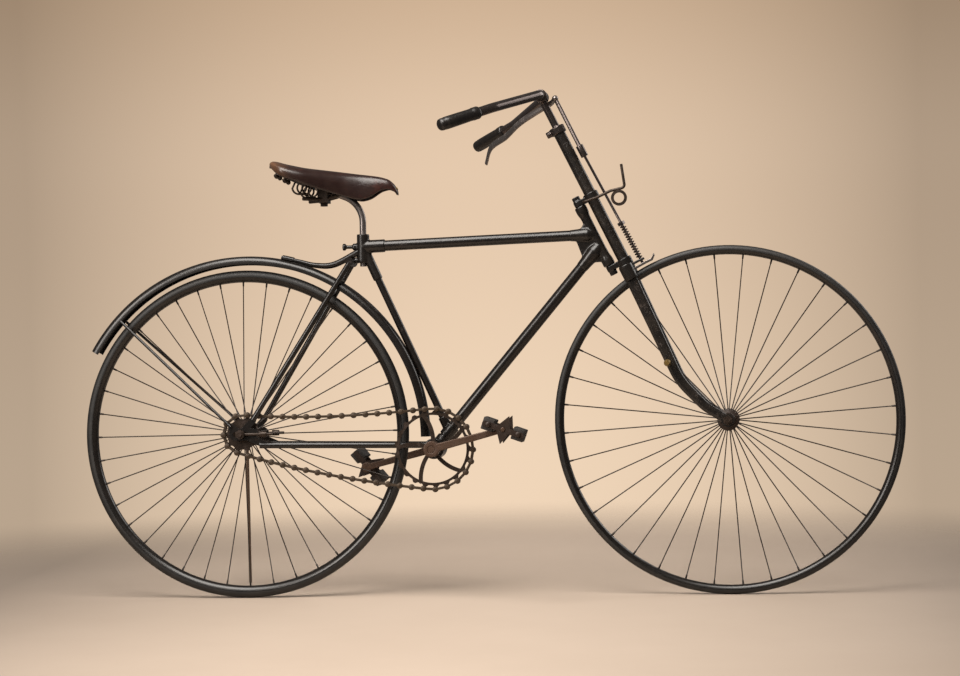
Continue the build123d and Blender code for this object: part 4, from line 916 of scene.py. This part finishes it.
# %% Hubs
# Each row: radius, then distance from the flange's middle, in metres
flange_rows = (
    (0.0120, -0.0130), (0.0126, -0.0080), (0.0145, -0.0042), (0.0190, -0.0021), (0.0222, -0.0016),
    (0.0230, -0.0010), (0.0230, 0.0010), (0.0222, 0.0016), (0.0175, 0.0018), (0.0160, 0.0030),
)
hub_halves = {"rear": (0.0450, 0.0280), "front": (0.0360, 0.0250)}
for name, (half, place) in hub_halves.items():
    end_rows = [(0.0160, half - 0.0012), (0.0150, half), (0.0100, half), (0.0095, half - 0.0008)]
    side_rows = [(radius, place + shift) for radius, shift in flange_rows] + end_rows
    profile = [(radius, -height) for radius, height in reversed(side_rows)] + [(0.0112, 0)] + side_rows
    shell = turned(name + "_hub_shell", profile, 40)
    pieces = [shell]
    if name == "rear":
        neck_rows = [(0.0098, -0.0492), (0.0100, -0.0490), (0.0100, -0.0448), (0.0098, -0.0446)]
        pieces.append(turned("sprocket_neck", neck_rows, 32))
    if len(pieces) > 1:
        shell = join(pieces, name + "_hub_shell")
    seat(shell, name + "_wheel", "hub", Matrix.Translation(wheels[name][0]) @ to_side, 40)
    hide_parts(name + "_hub")

# %% [markdown]
# ## Saddle
# The saddle is one piece of thick leather, stretched from the nose to the cantle and moulded wet. Its form
# is read from a short table: along its length, how high it lies, how low its skirt hangs and how wide it
# is. A flat grid is laid over that form, thickened and smoothed, and its ends are drawn in as leather is.

# %% Leather top
saddle_front, saddle_rear = 0.3400, 0.0620
saddle_top = 0.9460
saddle_depth, saddle_half_width = 0.0915, 0.0980
# Each row: place along the length, height below the top, skirt's height below the top, half width
saddle_rows = (
    (0.000, 0.17, 0.175, 0.20), (0.004, 0.09, 0.18, 0.33), (0.036, 0.01, 0.22, 0.70),
    (0.079, 0.03, 0.35, 0.88), (0.140, 0.09, 0.46, 1.00), (0.290, 0.19, 0.63, 0.92),
    (0.440, 0.24, 0.77, 0.63), (0.590, 0.30, 0.91, 0.39), (0.705, 0.35, 1.00, 0.29),
    (0.785, 0.38, 0.94, 0.25), (0.863, 0.42, 0.77, 0.22), (0.928, 0.48, 0.72, 0.20),
    (0.971, 0.60, 0.78, 0.16), (0.996, 0.74, 0.84, 0.11), (1.000, 0.84, 0.86, 0.07),
)
# Across each section: share of the half width, share of the depth from the top to the skirt
saddle_section = (
    (0.0, 0.0), (0.24, 0.005), (0.48, 0.03), (0.72, 0.09),
    (0.90, 0.23), (1.0, 0.46), (0.995, 0.75), (0.96, 1.0),
)
leather_thickness = 0.0042


def saddle_shape(along, around):
    place, top, skirt, width = between(saddle_rows, along)
    out, down = between(saddle_section, abs(2 * around - 1))
    high = saddle_top - top * saddle_depth
    low = saddle_top - skirt * saddle_depth
    x = saddle_rear + place * (saddle_front - saddle_rear)
    side = 1 if around > 0.5 else -1
    return Vector((x, side * out * width * saddle_half_width, high - (high - low) * down))


rows, columns = (len(saddle_rows) - 1) * 3, (len(saddle_section) - 1) * 4
top = formed("saddle_top", rows, columns, saddle_shape, leather_thickness)
apply(top, "SMOOTH", factor=0.5, iterations=3)
apply(top, "SUBSURF", levels=1)
seat(top, "frame", "leather", smooth=60)
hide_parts("saddle_leather")

# %% [markdown]
# ### Springs and nuts of the saddle
# Each side has one wire, wound to two loops that lie in the side view. It rises from the rail, and its
# other end carries the cantle plate. A longer spring closes round the foot of the brake rod. All of these
# are drawn as wire. Two round nuts hang under the plate on each side.

# %% Springs
spring_low, spring_high = 0.8690, 0.8965
loop_middle, loop_radius, loop_turns, loop_steps = 0.8830, 0.0125, 2, 20
loop_front, loop_run = 0.1510, 0.0220
loop_inside, loop_spread = 0.0380, 0.0130
spring_wire = 0.0022
cantle_nut_profile = [(0.0020, 0.0), (0.0050, 0.0010), (0.0055, 0.0050), (0.0048, 0.0085), (0.0026, 0.0110)]
cantle_nut_places = ((0.0745, 0.9185), (0.0930, 0.9085))
cantle_nut_side = 0.0200
cantle_slope = Matrix.Rotation(radians(158), 4, "Y")
springs = []
for side in (-1, 1):
    points = [
        Vector((0.1500, side * 0.0360, spring_low - 0.0020)),
        Vector((0.1420, side * 0.0370, spring_low)),
    ]
    last = loop_turns * loop_steps + 5
    for number in range(last + 1):
        angle = -pi / 2 - 2 * pi * number / loop_steps
        share = number / last
        x = loop_front - loop_run * share + loop_radius * cos(angle)
        z = loop_middle + loop_radius * sin(angle)
        points.append(Vector((x, side * (loop_inside + loop_spread * share), z)))
    points.append(Vector((0.1240, side * 0.0500, spring_high + 0.0030)))
    springs.append(wire("spring", points, spring_wire))
    for x, z in cantle_nut_places:
        springs.append(turned("cantle_nut", cantle_nut_profile, 14))
        springs[-1].matrix_world = Matrix.Translation((x, side * cantle_nut_side, z)) @ cantle_slope
springs = join(springs, "saddle_loop_springs")
seat(springs, "frame", "steel", smooth=60)
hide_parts("saddle_springs")
brake_foot, brake_joint = head(-0.0880, 0.0648), head(0.1755, 0.0583)
brake_way = (brake_joint - brake_foot).normalized()
coil_radius, coil_length, coil_turns, coil_wire = 0.0056, 0.0780, 13, 0.00125
coil_start = brake_foot + brake_way * 0.0020
spring = coil("brake_coil_spring", coil_start, brake_way, coil_radius, coil_length, coil_turns, coil_wire, 16)
seat(spring, "fork", "steel", smooth=60)
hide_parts("brake_spring")

# %% [markdown]
# ## Grips
# The grips are turned, with a lip in front of the hand and a rounded end. Each is shaped on the Z axis and
# laid along the end of its bar.

# %% Grips
bar_lug = head(0.3200, 0.0338)
for name, side in (("right", -1), ("left", 1)):
    bend = bar_lug + Vector((-0.0835, side * 0.1920, -0.0400))
    end = bend + Vector((-0.0945, side * 0.0840, -0.0397))
    start = bend + (end - bend) * 0.27
    length = (end - start).length + 0.0050
    grip = turned("grip_horn_" + name, [
        (0.0104, 0.0), (0.0126, 0.0005), (0.0135, 0.0028), (0.0135, 0.0150), (0.0129, 0.0168),
        (0.0127, 0.0220), (0.0131, length * 0.45), (0.0134, length * 0.75), (0.0133, length - 0.0160),
        (0.0127, length - 0.0150), (0.0129, length - 0.0075), (0.0120, length - 0.0032),
        (0.0095, length - 0.0008), (0.0050, length),
    ], 40)
    seat(grip, "fork", "grip", aimed(start, end), 60)
    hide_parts("grip_" + name)

# %% [markdown]
# ## Pedals
# Two blocks of rubber are held between pointed steel plates by long bolts. A block is a cube drawn to
# size, with rounded edges and shallow grooves across its length, so that the boot doesn't slip.

# %% Rubber blocks
block_width, block_length, block_height = 0.0250, 0.0768, 0.0260
block = add("cube", "pedal_block", size=1)
bpy.ops.transform.resize(value=(block_width, block_length, block_height))
bpy.ops.object.transform_apply(location=False, rotation=False, scale=True)
bpy.ops.object.mode_set(mode="EDIT")
grooves = 6
groove_share = 0.90
groove_middles = [block_length * ((number + 0.5) / grooves - 0.5) for number in range(grooves)]
for middle in groove_middles:
    for shift in (-0.0016, -0.0008, 0.0008, 0.0016):
        bpy.ops.mesh.select_all(action="SELECT")
        bpy.ops.mesh.bisect(plane_co=(0, middle + shift, 0), plane_no=(0, 1, 0))
bpy.ops.object.mode_set(mode="OBJECT")
for vertex in block.data.vertices:
    if min(abs(vertex.co.y - middle) for middle in groove_middles) < 0.0010:
        vertex.co.x *= groove_share
        vertex.co.z *= groove_share
clean(block)
apply(block, "BEVEL", width=0.0022, segments=3, limit_method="ANGLE", angle_limit=radians(80))
pedal_start, pedal_width, block_shift = 0.0880, 0.0820, 0.0330
# Each pedal: its side, and how far it is tipped in degrees
tips = {"right": (-1, 19.5), "left": (1, 50.0)}
for name, (side, tip) in tips.items():
    middle = pedal_centres[name].copy()
    middle.y = side * (pedal_start + pedal_width / 2)
    turn = Matrix.Translation(middle) @ Matrix.Rotation(radians(tip), 4, "Y")
    model = block.copy()
    model.data = block.data.copy()
    bpy.context.collection.objects.link(model)
    places = [turn @ Matrix.Translation((shift, 0, 0)) for shift in (-block_shift, block_shift)]
    rubbers = copies(model, places, "pedal_" + name + "_blocks")
    seat(rubbers, "pedal_" + name, "pedal", smooth=40)
    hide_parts("pedal_" + name + "_rubbers")
bpy.data.objects.remove(block)

# %% [markdown]
# ### Bolt heads
# A dome nut holds the outer end of each bolt. It is turned once and copied to its two places.

# %% Dome nuts on the pedals
nut_profile = [
    (0.0056, 0), (0.0061, 0.0006), (0.0061, 0.0026), (0.0056, 0.0034), (0.0041, 0.0046), (0.0022, 0.0052),
]
for name, (side, tip) in tips.items():
    middle = pedal_centres[name].copy()
    middle.y = side * (pedal_start + pedal_width)
    outward = to_side if side > 0 else to_side.inverted()
    face = Matrix.Translation(middle) @ Matrix.Rotation(radians(tip), 4, "Y") @ outward
    nut = turned("nut", nut_profile, 12)
    spots = [face @ Matrix.Translation((shift, 0, 0)) for shift in (-block_shift, block_shift)]
    nuts = copies(nut, spots, "pedal_" + name + "_nuts")
    seat(nuts, "pedal_" + name, "hub", smooth=40)

# %% [markdown]
# ## Mudguard
# The guard is a strip of thin steel rolled to a shallow channel, with a wire in each edge to stiffen it. A
# strap with four rivets holds the rod that carries it. Strip and strap are both formed from a flat grid.

# %% Channel with wired edges
guard_centre = rear_centre + Vector((0.0050, 0, -0.0110))
guard_radius = 0.3960
guard_end = radians(150.2)
# Each row: depth below the crown, place to the left
guard_half_section = (
    (0.0168, 0.0218), (0.0120, 0.0217), (0.0082, 0.0209),
    (0.0048, 0.0188), (0.0022, 0.0150), (0.0007, 0.0098),
)
guard_right_section = [(depth, -place) for depth, place in guard_half_section]
guard_section = guard_right_section + [(0.0, 0.0)] + list(reversed(guard_half_section))
guard_steps = 110


def guard_point(angle, depth, place):
    way = Vector((cos(angle), 0, sin(angle)))
    return guard_centre + way * (guard_radius - depth) + Vector((0, place, 0))


def guard_shape(along, around):
    depth, place = between(guard_section, around)
    return guard_point(guard_end * along, depth, place)


sheet = formed("guard_sheet", guard_steps, 24, guard_shape, -0.0011)
edge_depth, edge_place, edge_wire = 0.0162, 0.0211, 0.0014
edges = []
for side in (-1, 1):
    angles = [guard_end * number / guard_steps for number in range(guard_steps + 1)]
    line = [guard_point(angle, edge_depth, side * edge_place) for angle in angles]
    edges.append(wire("guard_edge", line, edge_wire))
guard = join([sheet] + edges, "mudguard_channel")
seat(guard, "frame", "enamel", smooth=50)
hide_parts("mudguard")

# %% [markdown]
# ### Strap
# The strap bends over the rod as a half round and lies flat on the guard at both sides, where two rivets
# hold each end of it.

# %% Strap and rivets
strap_first, strap_run = 75.0, 3.6
strap_bend, strap_flange, strap_lift, strap_foot = 0.0051, 0.0180, 0.0043, 0.0014


def strap_shape(along, around):
    angle = radians(strap_first + strap_run * along)
    turn = 2 * around - 1
    if abs(turn) < 0.5:
        place, height = strap_bend * sin(turn * pi), strap_lift + strap_bend * cos(turn * pi)
    else:
        side = 1 if turn > 0 else -1
        place, height = side * (strap_bend + (abs(turn) - 0.5) * strap_flange), strap_foot
    return guard_point(angle, -height, place)


strap = formed("strap", 8, 24, strap_shape, -0.0010)
rivet_profile = [(0.0022, 0), (0.0021, 0.0006), (0.0016, 0.0012), (0.0008, 0.0015)]
rivet = turned("rivet", rivet_profile, 10)
rivet_place, rivet_foot, rivet_out = 0.0108, -0.0018, -0.0118
spots = []
for angle in (75.7, 77.9):
    for side in (-rivet_place, rivet_place):
        foot = guard_point(radians(angle), rivet_foot, side)
        spots.append(aimed(foot, guard_point(radians(angle), rivet_out, side)))
strap = join([strap, copies(rivet, spots, "rivets")], "guard_strap")
seat(strap, "frame", "enamel", smooth=50)

# %% [markdown]
# ### Rivets in the leather
# Brass rivets hold the leather to its cantle and to the nose. Each stands square to the surface, whose
# slope is read from the same table that formed it.

# %% Saddle rivets
def square_to_leather(along, around):
    point = saddle_shape(along, around)
    step = 0.004
    first = saddle_shape(along + step, around) - saddle_shape(along - step, around)
    second = saddle_shape(along, around + step) - saddle_shape(along, around - step)
    out = first.cross(second).normalized()
    return aimed(point - out * 0.0012, point + out)


rivet_profile = [(0.0042, 0), (0.0041, 0.0008), (0.0034, 0.0018), (0.0020, 0.0025), (0.0008, 0.0027)]
rivet = turned("saddle_rivet", rivet_profile, 14)
spots = [square_to_leather(0.105, 0.5 + number * 0.075) for number in range(-3, 4)]
spots += [square_to_leather(0.905, 0.5 + number * 0.12) for number in (-1, 0, 1)]
rivets = copies(rivet, spots, "saddle_rivets")
seat(rivets, "frame", "brass", smooth=50)

# %% [markdown]
# ## Forged and machined pieces
# A forging has no sharp inner corners: its sockets flow into its body. The lugs, the head, the crown and
# the cranks keep their modelled form, and get that flow from a fine remesh that is then smoothed. Flat
# machined pieces, such as the toothed wheel, only have their edges broken.

# %% Softened forgings, broken edges
# Each forging: size of the remesh in metres, and how often it is smoothed
forgings = {
    "seat_lug": (0.0013, 7), "seat_tube_foot": (0.0012, 6), "bottom_bracket": (0.0014, 6),
    "steering_arms": (0.0013, 5), "fork_crown": (0.0014, 6), "handlebar_stem": (0.0013, 5),
    "crank_right": (0.0012, 4), "crank_left": (0.0012, 4),
}
for name, (size, rounds) in forgings.items():
    remesh = nodes[name].modifiers.new("forged", "REMESH")
    remesh.mode = "VOXEL"
    remesh.voxel_size = size
    remesh.use_smooth_shade = True
    smooth = nodes[name].modifiers.new("flow", "SMOOTH")
    smooth.factor = 0.5
    smooth.iterations = rounds
machined = (
    "chainwheel", "sprocket", "rear_dropouts", "chain_adjusters", "rear_axle", "front_axle", "saddle_cantle",
    "saddle_clamp", "saddle_frame", "pedal_right_frame", "pedal_left_frame", "brake_spoon", "brake_rod",
)
for name in machined:
    weld = nodes[name].modifiers.new("weld", "WELD")
    weld.merge_threshold = 0.00001
    bevel = nodes[name].modifiers.new("broken_edge", "BEVEL")
    bevel.width = 0.0005
    bevel.segments = 2
    bevel.limit_method = "ANGLE"
    bevel.angle_limit = radians(40)
print("forgings", len(forgings), "machined", len(machined))

# %% [markdown]
# ## Head forging
# The head is one forging: a post between two bosses, and two sockets that open like trumpets towards the
# tubes, with webs of metal between them. Post, trumpets and webs are made first, and a fine remesh then
# makes them one, so that each flows into the next as it does where hot metal filled a die.

# %% Head
lug_centre = Vector((0.2612, 0, 0.7572))
post = turned("head_post", [
    (0.0128, -0.0710), (0.0130, -0.0700), (0.0130, -0.0580), (0.0112, -0.0480), (0.0104, -0.0300),
    (0.0104, 0.0240), (0.0106, 0.0450), (0.0130, 0.0560), (0.0130, 0.0700), (0.0128, 0.0710),
], 40)
post.matrix_world = aimed(head(0, 0), head(1, 0))
# Each socket: where it starts, where it points, and its profile along the tube
roots = (
    (head(0.0035, 0), lug_centre, [
        (0.0050, -0.0080), (0.0100, -0.0020), (0.0135, 0.0060), (0.0160, 0.0140),
        (0.0150, 0.0240), (0.0133, 0.0360), (0.0121, 0.0520),
    ]),
    (head(-0.0230, 0), bracket_centre, [
        (0.0050, -0.0080), (0.0105, -0.0010), (0.0145, 0.0080), (0.0168, 0.0180),
        (0.0158, 0.0300), (0.0140, 0.0450), (0.0128, 0.0620),
    ]),
)
pieces = [post]
for start, far, profile in roots:
    trumpet = turned("trumpet", profile, 40)
    trumpet.matrix_world = aimed(start, far)
    pieces.append(trumpet)
top_way, low_way = ((far - start).normalized() for start, far, _ in roots)
web_thickness = 0.0140
# Each web: its three corners in the side view
webs = (
    (head(-0.0080, 0), head(0.0035, 0) + top_way * 0.0430, head(-0.0230, 0) + low_way * 0.0500),
    (head(0.0400, 0), head(0.0035, 0) + top_way * 0.0380, head(0.0, 0)),
    (head(-0.0620, 0), head(-0.0230, 0) + low_way * 0.0480, head(-0.0200, 0)),
)
for corners in webs:
    web = add("circle", "web", vertices=3, radius=0.01)
    for vertex, corner in zip(web.data.vertices, corners):
        vertex.co = corner - Vector((0, web_thickness / 2, 0))
    bpy.ops.object.mode_set(mode="EDIT")
    bpy.ops.mesh.select_all(action="SELECT")
    bpy.ops.mesh.edge_face_add()
    bpy.ops.mesh.extrude_region_move(TRANSFORM_OT_translate={"value": (0, web_thickness, 0)})
    pieces.append(clean(web))
forging = join(pieces, "head_forging")
apply(forging, "REMESH", mode="VOXEL", voxel_size=0.0013)
apply(forging, "SMOOTH", factor=0.5, iterations=14)
seat(forging, "frame", "tube", smooth=60)
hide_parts("neck")

# %% [markdown]
# ## Guard rod and brake lever
# The rod that carries the guard is stout where it leaves the lug, and thins out towards the strap. The
# lever's blade is flattened bar, broad under the grip, with its end curled down.

# %% Tapered bars
lift = (guard_radius + 0.0003) / cos(radians(3)) + 0.0040
corners = [Vector((0.2545, 0, 0.7482))]
for angle, rise in ((62.8, 1.0), (67.8, 0.16), (73.0, 0.0), (79.0, 0.0)):
    corners.append(guard_point(radians(angle), guard_radius - lift - rise * 0.0216, 0))
sizes = [(0.0072, 0.0072), (0.0068, 0.0068), (0.0058, 0.0058), (0.0044, 0.0044), (0.0040, 0.0040)]
stay = drawn("guard_carrier", corners, sizes, Vector((0, 1, 0)), 20, 10)
seat(stay, "frame", "tube", smooth=60)
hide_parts("mudguard_rod")
lever_height, lever_back, lever_side, lever_drop = 0.3030, 0.149, 0.200, 0.125
lever_root = head(lever_height, 0.0458, 0.0360)
arm_tip = head(lever_height, 0.0583)
# Each corner of the blade: shares of how far back, how far to the side and how far down it reaches
lever_corners = [lever_root] + [
    bar_lug + Vector((-back * lever_back, place * lever_side, -drop * lever_drop))
    for back, place, drop in ((0.35, 0.40, 0.35), (0.63, 0.65, 0.57), (0.89, 0.85, 0.73), (1.0, 1.0, 1.0))
]
blade_sizes = [(0.0064, 0.0036), (0.0074, 0.0032), (0.0078, 0.0030), (0.0074, 0.0030), (0.0062, 0.0030)]
blade = drawn("lever_blade", lever_corners, blade_sizes, Vector((0, 0, 1)), 20, 10)
arm_corners = [arm_tip, (arm_tip + lever_root) / 2, lever_root]
arm_sizes = [(0.0048, 0.0048), (0.0055, 0.0055)]
arm = drawn("lever_arm", arm_corners, arm_sizes, Vector((0, 0, 1)))
knuckle = add("uv_sphere", "knuckle", segments=24, ring_count=14, radius=0.0068, location=arm_tip)
bpy.ops.transform.resize(value=(1, 1.25, 1), center_override=arm_tip)
lever = join([blade, arm, knuckle], "brake_lever_bar")
seat(lever, "fork", "nickel", smooth=60)
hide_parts("brake_lever")

# %% [markdown]
# ## Chain
# Inner and outer plates alternate on pins, and each pin's end shows as a round bead. The loop hangs slack
# between the two toothed wheels: arcs round the wheels, and sagging runs that leave each wheel a little
# off the straight line. One inner and one outer link are modelled and copied round the loop.

# %% Where the pins lie
chain_pitch, chain_links, chain_line = 0.02575, 48, -0.0480
sprocket_teeth, chainwheel_teeth = 10, 21
small_radius = chain_pitch / (2 * sin(pi / sprocket_teeth))
large_radius = chain_pitch / (2 * sin(pi / chainwheel_teeth))
drive = bracket_centre - rear_centre
drive_fall = -atan2(drive.z, drive.x)
tilt = asin((large_radius - small_radius) / hypot(drive.x, drive.z))
slack_rear, slack_front, first_pin = radians(6.0), radians(4.6), 0.0070
upper, lower = tilt - drive_fall, -tilt - drive_fall


def arc(centre, radius, start, end, steps=40):
    angles = [start + (end - start) * number / steps for number in range(steps + 1)]
    ways = [Vector((cos(angle), 0, sin(angle))) for angle in angles]
    return [Vector((centre.x, chain_line, centre.z)) + way * radius for way in ways]


def sagging(start, start_angle, end, end_angle, steps=40):
    """A run that leaves both wheels at given angles, drawn with one corner between them."""
    first = Vector((cos(start_angle), 0, sin(start_angle)))
    last = Vector((cos(end_angle), 0, sin(end_angle)))
    gap = end - start
    corner = start + first * ((gap.x * last.z - gap.z * last.x) / (first.x * last.z - first.z * last.x))
    shares = [number / steps for number in range(steps + 1)]
    return [start * (1 - share) ** 2 + corner * 2 * share * (1 - share) + end * share**2 for share in shares]


front_arc = arc(bracket_centre, large_radius, upper + slack_front + pi / 2, lower + slack_front - pi / 2)
rear_arc = arc(rear_centre, small_radius, lower - slack_rear - pi / 2, upper - slack_rear - 3 * pi / 2)
loop = sagging(rear_arc[-1], upper - slack_rear, front_arc[0], upper + slack_front) + front_arc[1:]
loop += sagging(front_arc[-1], lower + slack_front, rear_arc[0], lower - slack_rear)[1:] + rear_arc[1:]
whole = sum((end - start).length for start, end in zip(loop, loop[1:]))
pins, run, target = [], 0.0, first_pin
for start, end in zip(loop, loop[1:]):
    length = (end - start).length
    while len(pins) < chain_links and target <= run + length:
        pins.append(start.lerp(end, (target - run) / length))
        target += whole / chain_links
    run += length
print("pins", len(pins), "step", round(whole / chain_links * 1000, 2), "mm")

# %% [markdown]
# ### Links
# A link is its bead and two side plates. The plates of every other link lie further out, as they do where
# an outer link straps two inner ones.

# %% Links
plate_height, plate_thickness, plate_short = 0.0052, 0.0015, 0.0070
bead_profile = [
    (0.0024, -0.0076), (0.0058, -0.0064), (0.0065, -0.0036), (0.0032, -0.0031),
    (0.0032, 0.0031), (0.0065, 0.0036), (0.0058, 0.0064), (0.0024, 0.0076),
]
chain_pieces = []
for first, inset in ((0, 0.0040), (1, 0.0056)):
    bead = turned("bead", bead_profile, 12)
    bead.matrix_world = to_side
    parts = [bead]
    for side in (-1, 1):
        plate = add("cube", "plate", size=1, location=(chain_pitch / 2, side * inset, 0))
        bpy.ops.transform.resize(value=(chain_pitch - plate_short, plate_thickness, plate_height))
        parts.append(apply(plate, "BEVEL", width=0.0004, segments=1))
    link = join(parts, "link")
    places = []
    for number in range(first, chain_links, 2):
        start, end = pins[number], pins[(number + 1) % chain_links]
        way = (end - start).normalized()
        turn = Matrix((way, (0, 1, 0), way.cross(Vector((0, 1, 0))))).transposed().to_4x4()
        places.append(Matrix.Translation(start) @ turn)
    chain_pieces.append(copies(link, places, "links"))
chain = join(chain_pieces, "roller_chain")
seat(chain, "frame", "chain", smooth=45)
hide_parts("chain")

# %% [markdown]
# ## Sizes
# The box round everything modelled is set beside the box of the imported model, and both are printed.

# %% Sizes of both boxes, and the end
visual_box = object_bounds()
sizes = {
    "cad": [[float(value) for value in corner] for corner in cad_box],
    "visual": [[float(value) for value in corner] for corner in visual_box],
}
print("boxes", sizes)
